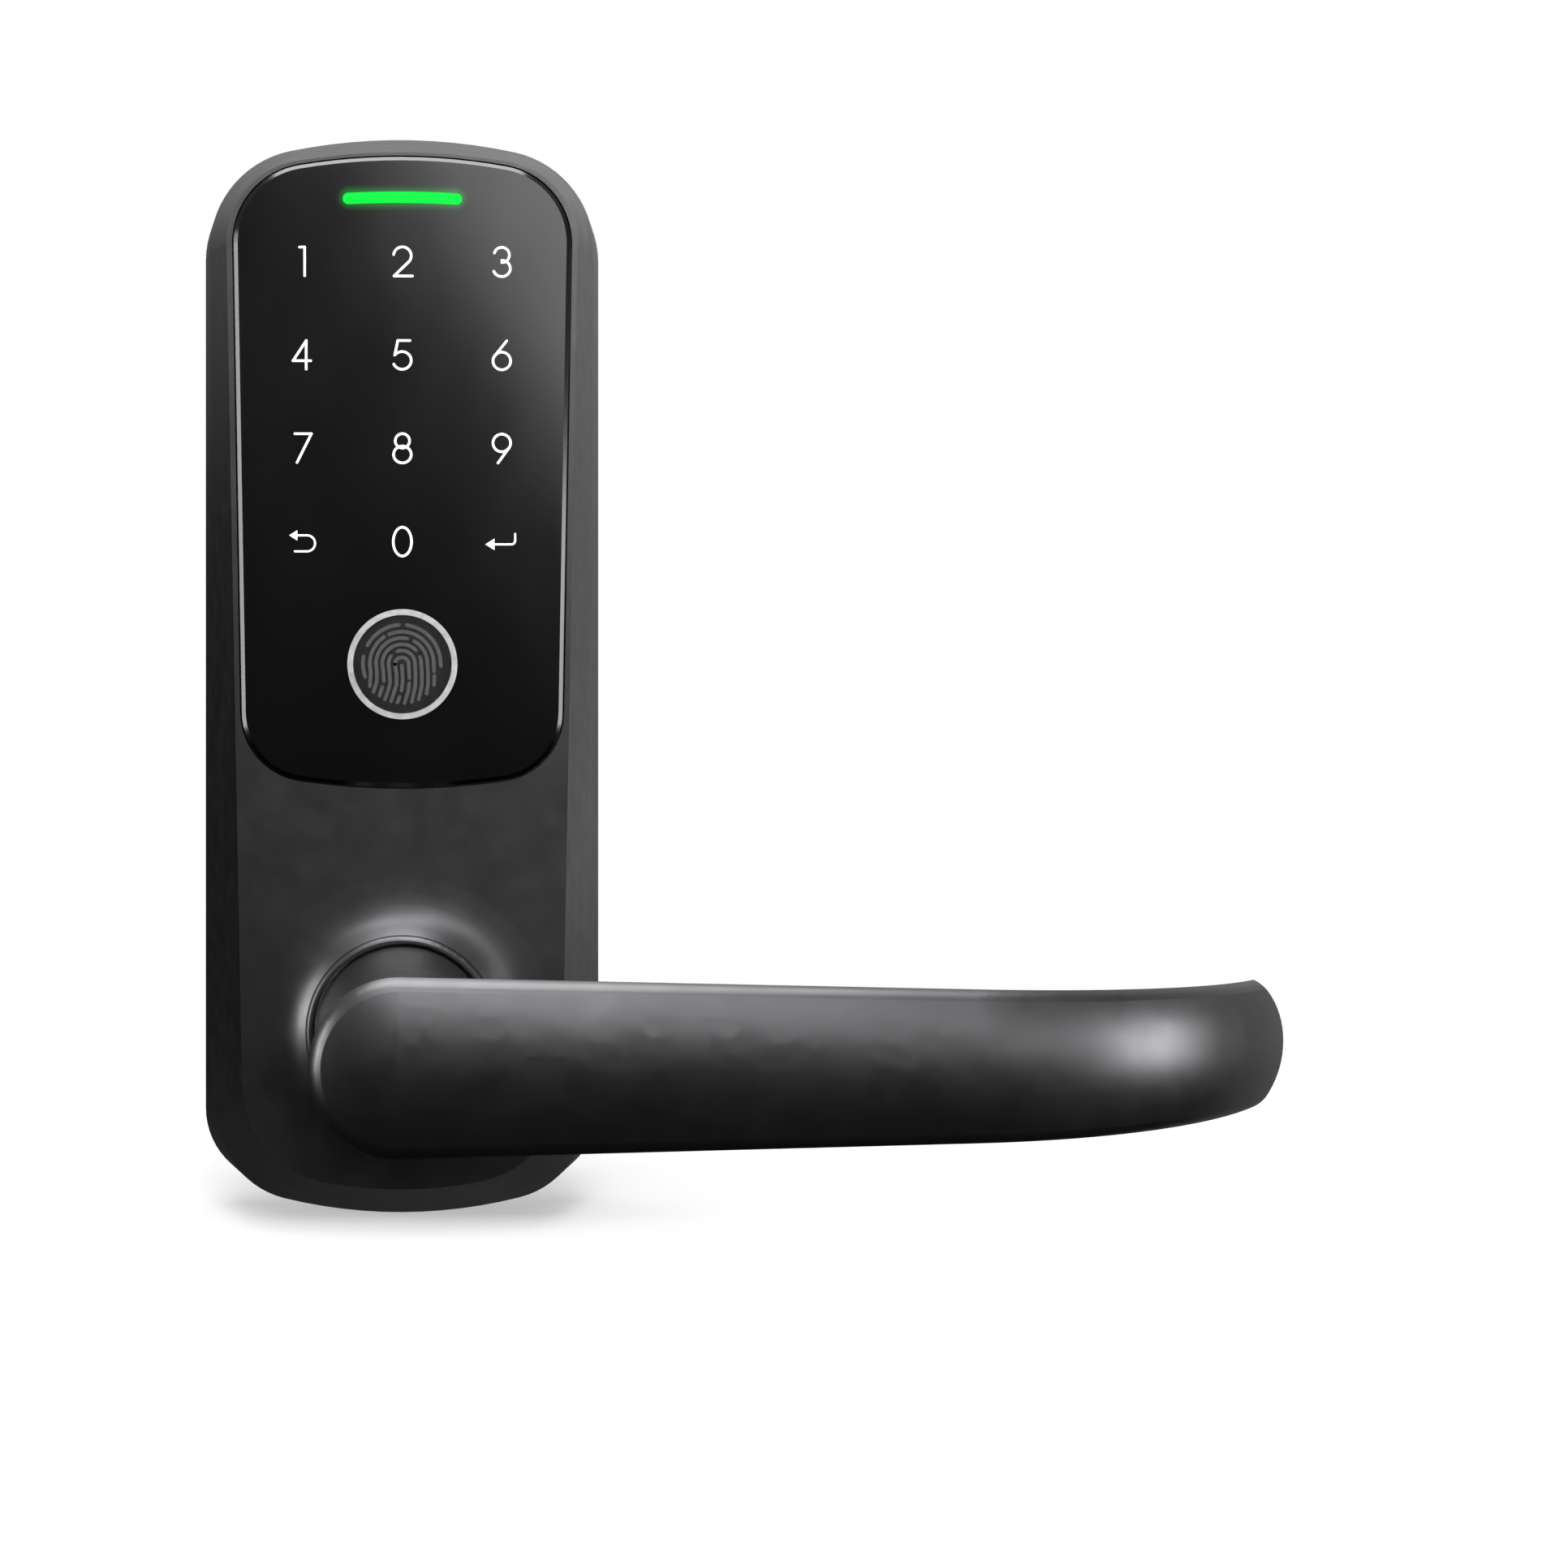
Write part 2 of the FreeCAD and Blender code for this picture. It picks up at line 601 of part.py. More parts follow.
# ---------------------------------------------------------------- rear plate and what is riveted to it
POSTS = ["-post_spacing / 2", "post_spacing / 2"]
GROMMET = ("grommet_x", "grommet_z")
BRACKET_BOTTOM = "motor_level + bracket_start"
BRACKET_TOP = "motor_level + bracket_start + bracket_width"
MOTOR_SCREWS = [(f"{sign}motor_screw_offset", f"{BRACKET_BOTTOM} + bracket_width / 2") for sign in ("-", "")]


def build_plate():
    inset = size("side_wall + plate_clearance")
    fit = loft("plate_fit", back_outline(inset, size("gasket_thickness")),
               ridge_outline(inset, size("ridge_depth")))
    blank = common("plate_blank", fit, block("plate_sheet", "-case_half_width", "case_half_width",
                                             PLATE_FRONT, PLATE_BACK, "case_bottom", "case_top"))
    through = (f"{PLATE_FRONT} + 1", f"{PLATE_BACK} - 1")
    holes = [rod(f"plate_hole_{i}", "pilot_radius + screw_clearance", *through, x, z)
             for i, (x, z) in enumerate(PLATE_SCREWS)]
    holes += [rod(f"plate_post_hole_{i}", "3.2", *through, x, "0") for i, x in enumerate(POSTS)]
    holes += [rod(f"plate_motor_hole_{i}", "0.9", *through, x, z) for i, (x, z) in enumerate(MOTOR_SCREWS)]
    holes.append(rod("plate_drive_hole", "sleeve_radius + 0.25", *through))
    holes.append(rod("plate_cable_hole", "grommet_bore + 1.0", *through, *GROMMET))
    return node(cut("rear_plate", blank, *holes), "rear_plate")


build_plate()
node(ring("bore_spigot", "spigot_radius", "spigot_radius - spigot_wall", PLATE_BACK, "-spigot_length"),
     "bore_spigot")


def build_post(i, x):
    head = rod(f"post_head_{i}", "4.0", f"{PLATE_FRONT} + 0.8", PLATE_FRONT, x)
    neck = rod(f"post_neck_{i}", "3.2", PLATE_FRONT, PLATE_BACK, x)
    body = rod(f"post_body_{i}", "post_radius", PLATE_BACK, "-post_length", x)
    hole = rod(f"post_thread_{i}", "post_hole_radius", "post_hole_depth - post_length",
               "-(post_length + 1)", x)
    return cut(f"post_{i}", fuse(f"post_solid_{i}", head, neck, body), hole)


for side, (i, x) in zip(("left", "right"), enumerate(POSTS)):
    node(build_post(i, x), f"{side}_fixing_post")

node(cut("cable_grommet",
         fuse("grommet_solid",
              rod("grommet_front", "grommet_bore + 1.8", f"{PLATE_FRONT} + 0.8", PLATE_FRONT, *GROMMET),
              rod("grommet_waist", "grommet_bore + 1.0", PLATE_FRONT, PLATE_BACK, *GROMMET),
              rod("grommet_back", "grommet_bore + 1.8", PLATE_BACK, f"{PLATE_BACK} - 1.0", *GROMMET)),
         rod("grommet_hole", "grommet_bore", f"{PLATE_FRONT} + 2", f"{PLATE_BACK} - 2", *GROMMET)),
     "cable_grommet")

# ---------------------------------------------------------------- lever
def lever_section(share, flat=False):
    """Half-round back, narrow band and crowned front, about the lever's widest plane.

    With flat, the crown's place is taken by a block that stands higher than it.
    """
    half = share * size("lever_height") / 2
    edge = half - share * size("lever_band")
    front = share * size("lever_front - lever_plane")
    back = share * size("lever_plane - lever_back")
    crown = front + share * size("lever_crown")
    top, bottom = Vector(0, 0, half), Vector(0, 0, -half)
    face_top, face_bottom = Vector(0, -front, edge), Vector(0, -front, -edge)
    bulge = Vector(0, -front * 0.58, half - (half - edge) * 0.43)
    arc = Part.Arc
    lift = Vector(0, front - crown - 2, 0)
    block_edges = Part.makePolygon([face_top, face_top + lift, face_bottom + lift, face_bottom]).Edges
    crown_edges = [arc(face_top, Vector(0, -crown, 0), face_bottom).toShape()]
    return Part.Wire((block_edges if flat else crown_edges) + [
        arc(face_bottom, Vector(0, bulge.y, -bulge.z), bottom).toShape(),
        arc(bottom, Vector(0, back * 0.72, -half * 0.72), Vector(0, back, 0)).toShape(),
        arc(Vector(0, back, 0), Vector(0, back * 0.72, half * 0.72), top).toShape(),
        arc(top, bulge, face_top).toShape(),
    ])


def build_lever():
    """A bar that tapers along one line and one bend, on a waisted neck, with a round end at each end."""
    plane, start = size("lever_plane"), -size("lever_end_shift")
    straight, bend, reach = size("lever_straight"), size("lever_bend_radius"), size("lever_reach")
    turn = math.asin((reach - straight) / bend) + math.radians(2)

    def bent(angle):
        return Vector(straight + bend * math.sin(angle), -plane + bend * (1 - math.cos(angle)), 0)

    path = Part.Wire([
        Part.LineSegment(Vector(start, -plane, 0), Vector(straight, -plane, 0)).toShape(),
        Part.Arc(bent(0), bent(turn / 2), bent(turn)).toShape(),
    ])
    near = lever_section(1)
    near.translate(Vector(start, -plane, 0))
    far = lever_section(size("lever_tip_height") / size("lever_height"))
    far.rotate(Vector(), Vector(0, 0, 1), math.degrees(turn))
    far.translate(bent(turn))
    bar = path.makePipeShell([near, far], True, True)
    # the end by the neck is the upper half of the same section, turned half way round the neck's side
    # under a dome as high as the crown
    high = lever_section(1, flat=True)
    high.translate(Vector(start, -plane, 0))
    upper = Part.makeBox(60, 80, 60, Vector(start - 30, -plane - 40, 0))
    turned = Part.Face(high).common(upper).revolve(Vector(start, 0, 0), Vector(0, 1, 0), -180)
    rim, rise = size("lever_height / 2 - lever_band"), size("lever_crown")
    dome = (rim ** 2 + rise ** 2) / (2 * rise)
    knob = turned.common(Part.makeSphere(dome, Vector(start, dome - rise - size("lever_front"), 0)))
    neck, waist, back = size("neck_radius"), size("neck_waist"), size("face_depth - 1.0")
    drum = size("lever_height") / 2 - 0.1
    side = Part.Arc(Vector(neck, -back - 6, 0), Vector(waist, -(back + plane) / 2 - 4, 0),
                    Vector(drum, -plane, 0)).toShape()
    corners = [Vector(drum, -plane, 0), Vector(0, -plane, 0), Vector(0, -back, 0),
               Vector(neck, -back, 0), Vector(neck, -back - 6, 0)]
    edges = [Part.LineSegment(p, q).toShape() for p, q in zip(corners, corners[1:])]
    stalk = Part.Face(Part.Wire([side] + edges)).revolve(Vector(), Vector(0, 1, 0), 360)
    blank = bar.fuse([knob, stalk])
    # the tip is rounded as seen from the front
    tip = size("lever_tip_radius")
    pad = Part.makeCylinder(tip, 120, Vector(reach - tip, 0, 0), Vector(0, -1, 0))
    keep = Part.makeBox(reach - tip + 40, 120, 60, Vector(-40, -120, -30)).fuse(pad)
    return feature("lever_blank", blank.common(keep).removeSplitter())


lever_blank = build_lever()
lever_bored = cut("lever_handle", lever_blank,
                  rod("shank_socket", "shank_radius", "shank_seat_depth", "face_depth - 3"),
                  upright_rod("set_screw_hole", "2.0", "-neck_radius - 1", "-shank_radius + 1",
                              "set_screw_depth"))
node(lever_bored, "lever_handle")
node(cut("lever_set_screw",
         upright_rod("set_screw_body", "1.95", "-neck_radius + 0.6", "-shank_radius", "set_screw_depth"),
         upright_rod("set_screw_socket", "1.0", "-neck_radius + 0.5", "-neck_radius + 2.0",
                     "set_screw_depth")),
     "lever_set_screw")

# ---------------------------------------------------------------- shank and its bearing
SHANK_END = "shank_end_depth"
CIRCLIP_FRONT = f"({BOSS_BACK} - 0.6)"
CIRCLIP_BACK = f"({CIRCLIP_FRONT} - 0.8)"
HUB_FRONT = f"({CIRCLIP_BACK} - 0.2)"
HUB_BACK = f"({HUB_FRONT} - hub_thickness)"

shank = cut("lever_shank", rod("shank_body", "shank_radius", "shank_seat_depth - 0.2", SHANK_END),
            rod("shank_hollow", "shank_bore", "shank_seat_depth + 1", f"{SHANK_END} - 1"),
            ring("circlip_groove", "shank_radius + 1", "shank_radius - 0.7", CIRCLIP_FRONT, CIRCLIP_BACK),
            upright_rod("clutch_bore", "clutch_pin_radius + running_gap", "0", "shank_radius + 2",
                        "clutch_depth"))
node(shank, "lever_shank")
node(cut("neck_bush",
         fuse("bush_solid",
              rod("bush_flange", "neck_radius + 0.4", "face_depth - 1.2", "face_depth - 1.8"),
              rod("bush_body", BUSH, "face_depth - 1.8", BOSS_BACK)),
         rod("bush_bore", "shank_radius + running_gap", "face_depth", f"{BOSS_BACK} - 1")),
     "neck_bush")
node(ring("thrust_washer", "shank_radius + 4.5", "shank_radius + 0.1", BOSS_BACK,
          f"{BOSS_BACK} - 0.55"), "thrust_washer")
node(cut("shank_circlip", ring("circlip_ring", "shank_radius + 2.2", "shank_radius - 0.65",
                               f"{CIRCLIP_FRONT} - 0.02", f"{CIRCLIP_BACK} + 0.02"),
         block("circlip_gap", "-2.2", "2.2", CIRCLIP_FRONT, CIRCLIP_BACK, "-shank_radius - 4", "0")),
     "shank_circlip")


# ---------------------------------------------------------------- hub, stop ring and return spring
def sector(name, inner, outer, start, end, front, back):
    """Part of a ring about the lever's axis. Angles run from +X towards +Z."""
    r0, r1 = size(inner), size(outer)

    def at(radius, angle):
        a = math.radians(angle)
        return Vector(radius * math.cos(a), -size(back), radius * math.sin(a))

    middle = (start + end) / 2
    wire = Part.Wire([
        Part.Arc(at(r1, start), at(r1, middle), at(r1, end)).toShape(),
        Part.LineSegment(at(r1, end), at(r0, end)).toShape(),
        Part.Arc(at(r0, end), at(r0, middle), at(r0, start)).toShape(),
        Part.LineSegment(at(r0, start), at(r1, start)).toShape(),
    ])
    return slab(name, wire, f"({front}) - ({back})")


LUG = size("lug_half_angle")
REST = -90.0
node(fuse("lever_hub",
          ring("hub_disc", HUB, "shank_radius", HUB_FRONT, HUB_BACK),
          sector("hub_lug", f"{HUB} - 1", LUG_TIP, REST - LUG, REST + LUG, HUB_FRONT, HUB_BACK)),
     "lever_hub")

STOP_START = REST + LUG + 0.6
STOP_END = REST + 360 - LUG - size("lever_travel") - 0.6
STOP_COLUMNS = [STOP_START + 12, 335.0, STOP_END - 9]
stop_parts = [sector("stop_sector", f"{HUB} + 0.6", f"{HUB} + 4.2", STOP_START, STOP_END,
                     f"{HUB_FRONT} - 0.2", f"{HUB_BACK} + 0.2")]
for i, angle in enumerate(STOP_COLUMNS):
    turn = math.radians(angle)
    stop_parts.append(rod(f"stop_column_{i}", "1.8", f"{HUB_BACK} + 0.3", PLATE_FRONT,
                          f"({HUB} + 2.4) * {math.cos(turn)}", f"({HUB} + 2.4) * {math.sin(turn)}"))
node(fuse("stop_ring", *stop_parts), "stop_ring")


def build_return_spring():
    """A torsion coil round the bush boss; its two legs straddle the hub's lug."""
    wire, radius = size("spring_wire"), size(COIL)
    leg_radius = radius + 2.2
    front, pitch = size(CAVITY) - 1.2, 2 * wire + 0.15
    gap = math.degrees(math.asin(size(LUG_TIP) * math.sin(math.radians(LUG)) / leg_radius))
    gap += math.degrees((wire + 0.25) / leg_radius)
    turns = (720 - 2 * gap) / 360
    helix = Part.makeHelix(pitch, pitch * turns, radius)
    coil_path = Part.Wire(helix.Edges)
    profile = Part.Wire(Part.makeCircle(wire, Vector(radius, 0, 0), Vector(0, 1, 0)))
    coil = coil_path.makePipeShell([profile], True, True)
    # the helix rises along its own +Z; turn it to run back from the front of the cavity
    coil.rotate(Vector(), Vector(1, 0, 0), -90)
    coil.rotate(Vector(), Vector(0, 1, 0), 90 - gap)
    coil.translate(Vector(0, -front, 0))
    legs = []
    for angle, depth in ((REST + gap, front), (REST - gap, front - pitch * turns)):
        turn = math.radians(angle)
        out = Vector(math.cos(turn), 0, math.sin(turn))
        inner, outer = out * radius + Vector(0, -depth, 0), out * leg_radius + Vector(0, -depth, 0)
        tail = depth - size(HUB_BACK) - 0.4
        legs += [Part.makeCylinder(wire, leg_radius - radius, inner, out), Part.makeSphere(wire, inner),
                 Part.makeSphere(wire, outer), Part.makeCylinder(wire, tail, outer, Vector(0, 1, 0))]
    return feature("return_spring", coil.fuse(legs))


node(build_return_spring(), "return_spring")

# ---------------------------------------------------------------- output drive
SLEEVE_FRONT = f"({BOSS_BACK} - 0.1)"
half_spindle = "spindle_side / 2"
CROSS_PIN = f"({SLEEVE_FRONT} - 3)"
cross_hole = ("1.2", "-sleeve_radius - 1", "sleeve_radius + 1", CROSS_PIN)
node(cut("drive_sleeve",
         fuse("sleeve_solid", rod("sleeve_body", "sleeve_radius", SLEEVE_FRONT, PLATE_BACK),
              rod("sleeve_flange", "shank_radius - 0.3", f"{SHANK_END} - 0.4", f"{PLATE_FRONT} + 0.4")),
         block("sleeve_square", f"-{half_spindle} - 0.05", f"{half_spindle} + 0.05",
               f"{SLEEVE_FRONT} + 1", f"{PLATE_BACK} - 1", f"-{half_spindle} - 0.05", f"{half_spindle} + 0.05"),
         upright_rod("sleeve_notch", "clutch_pin_radius + 0.1", "sleeve_radius - 2.5", "sleeve_radius + 1",
                     "clutch_depth"),
         cross_rod("sleeve_pin_hole", *cross_hole)),
     "drive_sleeve")
node(cut("square_spindle",
         block("spindle_bar", f"-{half_spindle}", half_spindle, f"{SLEEVE_FRONT} - 0.6",
               "-spindle_length", f"-{half_spindle}", half_spindle),
         cross_rod("spindle_pin_hole", *cross_hole)),
     "square_spindle")
node(cross_rod("spindle_pin", "1.2", "-sleeve_radius + 0.3", "sleeve_radius - 0.3", CROSS_PIN), "spindle_pin")

# ---------------------------------------------------------------- clutch
PIN_TIP = "(sleeve_radius - 2.3)"
PIN_TOP = "(shank_radius + 3.2)"
node(common("clutch_pin",
            fuse("pin_solid", upright_rod("pin_stem", "clutch_pin_radius", PIN_TIP, PIN_TOP, "clutch_depth"),
                 upright_rod("pin_head", "2.6", f"{PIN_TOP} - 1.2", PIN_TOP, "clutch_depth")),
            rod("pin_crown", PIN_TOP, "clutch_depth + 4", "clutch_depth - 4")), "clutch_pin")


def build_pin_spring():
    """A short coil of square wire that lifts the clutch pin off the drive sleeve."""
    wire, pitch = size("pin_spring_wire"), size("pin_spring_pitch")
    inner = size("clutch_pin_radius") + 0.15
    bottom = size("shank_radius") + wire / 2 + 0.02
    top = size(f"{PIN_TOP} - 1.2") - wire / 2 - 0.02
    helix = Part.makeHelix(pitch, top - bottom, inner + wire / 2)
    corners = [Vector(inner + u * wire, 0, (v - 0.5) * wire)
               for u, v in ((0, 0), (1, 0), (1, 1), (0, 1), (0, 0))]
    coil = Part.Wire(helix.Edges).makePipeShell([Part.makePolygon(corners)], True, True)
    coil.translate(Vector(0, -size("clutch_depth"), bottom))
    return feature("clutch_spring", coil)


node(build_pin_spring(), "clutch_spring")

# the shoe's curve is round the lever's axis when the slider is lifted, so it clears the pin at any angle
SHOE_INNER = f"({PIN_TOP} + clutch_travel + 0.05)"
NUT_BOTTOM, NUT_TOP = "nut_level", "(nut_level + nut_height)"
shoe_half = size("shoe_half_angle")
shoe = bind(sector("slider_shoe", SHOE_INNER, f"{SHOE_INNER} + shoe_thickness", 90 - shoe_half, 90 + shoe_half,
                   "clutch_depth + 2", "clutch_depth - 2"), base_z="-clutch_travel")
stem = cut("slider_stem", block("stem_plate", "-stem_half", "stem_half", "clutch_depth + 1", "clutch_depth - 1",
                                f"{SHOE_INNER} + 1 - clutch_travel", f"{NUT_BOTTOM} + 1"),
           block("stem_slot", "-2.9", "2.9", "clutch_depth + 2", "clutch_depth - 2",
                 f"{NUT_BOTTOM} - 4.6", NUT_BOTTOM))
nut = block("slider_nut", "-4.2", "4.2", "clutch_depth + 3.5", "clutch_depth - 3.5", NUT_BOTTOM, NUT_TOP)
node(cut("clutch_slider", fuse("slider_solid", shoe, stem, nut),
         upright_rod("nut_bore", "screw_radius + running_gap", f"{NUT_BOTTOM} - 1", f"{NUT_TOP} + 1",
                     "clutch_depth")), "clutch_slider")
GUIDE = ("guide_level", "guide_level + guide_thickness")
GUIDE_THROUGH = ("guide_level - 1", "guide_level + guide_thickness + 1")
node(cut("slider_guide",
         block("guide_block", "-guide_half", "guide_half", "clutch_depth + 2.4", PLATE_FRONT, *GUIDE),
         block("guide_channel", "-stem_half - 0.15", "stem_half + 0.15", "clutch_depth + 1.1",
               "clutch_depth - 1.1", *GUIDE_THROUGH),
         block("guide_relief", "-3.2", "3.2", "clutch_depth + 1.1", f"{PLATE_FRONT} + 1", *GUIDE_THROUGH)),
     "slider_guide")

# ---------------------------------------------------------------- clutch motor
MOTOR_BACK = f"({PLATE_FRONT} + 0.6)"
MOTOR_TOP = "(motor_level + motor_length)"
GEARBOX_TOP = "(motor_level + gearbox_length)"
node(fuse("clutch_motor",
          block("gearbox", "-motor_width / 2", "motor_width / 2", f"{MOTOR_BACK} + motor_thickness",
                MOTOR_BACK, "motor_level", GEARBOX_TOP),
          common("motor_can", block("can_flats", "-motor_width / 2", "motor_width / 2",
                                    f"{MOTOR_BACK} + motor_thickness", MOTOR_BACK, GEARBOX_TOP,
                                    MOTOR_TOP),
                 upright_rod("can_round", "motor_width / 2", GEARBOX_TOP, MOTOR_TOP,
                             "clutch_depth")),
          upright_rod("motor_end_boss", "1.8", MOTOR_TOP, f"{MOTOR_TOP} + 0.8", "clutch_depth")),
     "clutch_motor")
node(fuse("motor_screw",
          upright_rod("screw_shaft", "1.2", "motor_level - 3.5", "motor_level", "clutch_depth"),
          upright_rod("screw_thread", "screw_radius", f"{NUT_BOTTOM} - 1.5", "motor_level - 2.2",
                      "clutch_depth")), "motor_screw")

CHEEK = (f"{MOTOR_BACK} + motor_thickness - 0.8", PLATE_FRONT, BRACKET_BOTTOM, BRACKET_TOP)
bracket = fuse("bracket_solid",
               block("bracket_base", "-bracket_half", "bracket_half", MOTOR_BACK, PLATE_FRONT,
                     BRACKET_BOTTOM, BRACKET_TOP),
               block("bracket_left", "-motor_width / 2 - 1.1", "-motor_width / 2 - 0.1", *CHEEK),
               block("bracket_right", "motor_width / 2 + 0.1", "motor_width / 2 + 1.1", *CHEEK))
node(cut("motor_bracket", bracket,
         *[rod(f"bracket_hole_{i}", "1.1", f"{MOTOR_BACK} + 1", f"{PLATE_FRONT} - 1", x, z)
           for i, (x, z) in enumerate(MOTOR_SCREWS)]), "motor_bracket")


def front_screw(name, x, z, seat, head_radius, head_height, shank_radius, length):
    """A pan head screw driven from the front."""
    head = rod(name + "_head", head_radius, f"{seat} + {head_height}", seat, x, z)
    shank = rod(name + "_shank", shank_radius, seat, f"{seat} - {length}", x, z)
    slot = block(name + "_slot", f"{x} - {head_radius * 0.6}", f"{x} + {head_radius * 0.6}",
                 f"{seat} + {head_height + 1}", f"{seat} + {head_height * 0.5}",
                 f"{z} - 0.25", f"{z} + 0.25")
    return cut(name, fuse(name + "_solid", head, shank), slot)


node(group("bracket_screws", *[front_screw(f"bracket_screw_{i}", x, z, MOTOR_BACK, 1.9, 1.2, 0.9, 2.6)
                               for i, (x, z) in enumerate(MOTOR_SCREWS)]), "bracket_screws")

# ---------------------------------------------------------------- check and write
doc.recompute()
failed = [o.Name for o in doc.Objects if "Invalid" in o.State or "Error" in o.State]
bad = [n.Label for n in nodes if n.Shape.isNull() or not n.Shape.isValid()]
if failed or bad:
    raise SystemExit(f"failed objects {failed}, bad shapes {bad}")
os.makedirs("parts", exist_ok=True)
for thing in nodes:
    thing.Shape.exportStep(f"parts/{thing.Label}.step")
    print(thing.Label, len(thing.Shape.Solids), round(thing.Shape.Volume, 1))
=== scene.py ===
import bpy
import bmesh
import math
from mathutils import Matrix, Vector


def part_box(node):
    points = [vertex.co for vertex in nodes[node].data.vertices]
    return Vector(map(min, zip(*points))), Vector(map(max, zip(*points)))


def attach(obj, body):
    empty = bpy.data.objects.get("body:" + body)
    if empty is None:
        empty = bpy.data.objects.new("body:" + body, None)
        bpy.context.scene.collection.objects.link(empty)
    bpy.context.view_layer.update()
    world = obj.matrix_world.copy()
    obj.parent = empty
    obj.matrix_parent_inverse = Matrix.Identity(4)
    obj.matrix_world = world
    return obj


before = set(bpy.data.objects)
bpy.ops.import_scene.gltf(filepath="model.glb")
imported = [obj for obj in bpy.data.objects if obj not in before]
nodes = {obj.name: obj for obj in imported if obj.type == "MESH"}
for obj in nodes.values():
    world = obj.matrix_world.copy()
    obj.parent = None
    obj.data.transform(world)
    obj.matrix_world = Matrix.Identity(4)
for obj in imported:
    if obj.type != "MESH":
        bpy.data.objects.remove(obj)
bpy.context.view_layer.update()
mm = 0.001


# ---- standing place, camera and lamps
# The lock stands on the foot of its casting on a pale shelf, as if fixed to an unseen door, and the
# lever swings down in front of the shelf's edge. The camera is level and close, in front of the
# casting's upper half, so the lever comes towards it.
case_low, case_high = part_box("escutcheon")
eye_level = 45.3 * mm
eye_distance = 367.4 * mm
camera_data = bpy.data.cameras.new("camera")
camera = bpy.data.objects.new("camera", camera_data)
bpy.context.scene.collection.objects.link(camera)
bpy.context.scene.camera = camera
bpy.context.scene.view_settings.view_transform = "Standard"
camera_data.sensor_width = 36
camera_data.lens = 50.0
camera_data.shift_x = 0.215
camera_data.shift_y = -0.0274
camera.location = (0, -eye_distance, eye_level)
camera.rotation_euler = (math.radians(90), 0, math.radians(-1.17))

shelf_edge = -32 * mm
shelf_top = case_low.z - 0.1 * mm
drop_level = shelf_top - 105 * mm


def slab(name, low, high):
    """A box of the stage between two corners."""
    mesh = bpy.data.meshes.new(name)
    bm = bmesh.new()
    bmesh.ops.create_cube(bm, size=1.0)
    for corner in bm.verts:
        corner.co = [l + (h - l) * (c + 0.5) for l, h, c in zip(low, high, corner.co)]
    bm.to_mesh(mesh)
    bm.free()
    piece = bpy.data.objects.new(name, mesh)
    bpy.context.scene.collection.objects.link(piece)
    return piece


shelf = slab("shelf", (-3, shelf_edge, shelf_top - 10 * mm), (3, 3, shelf_top))
ground = slab("ground", (-3, -3, drop_level - 10 * mm), (3, 3, drop_level))


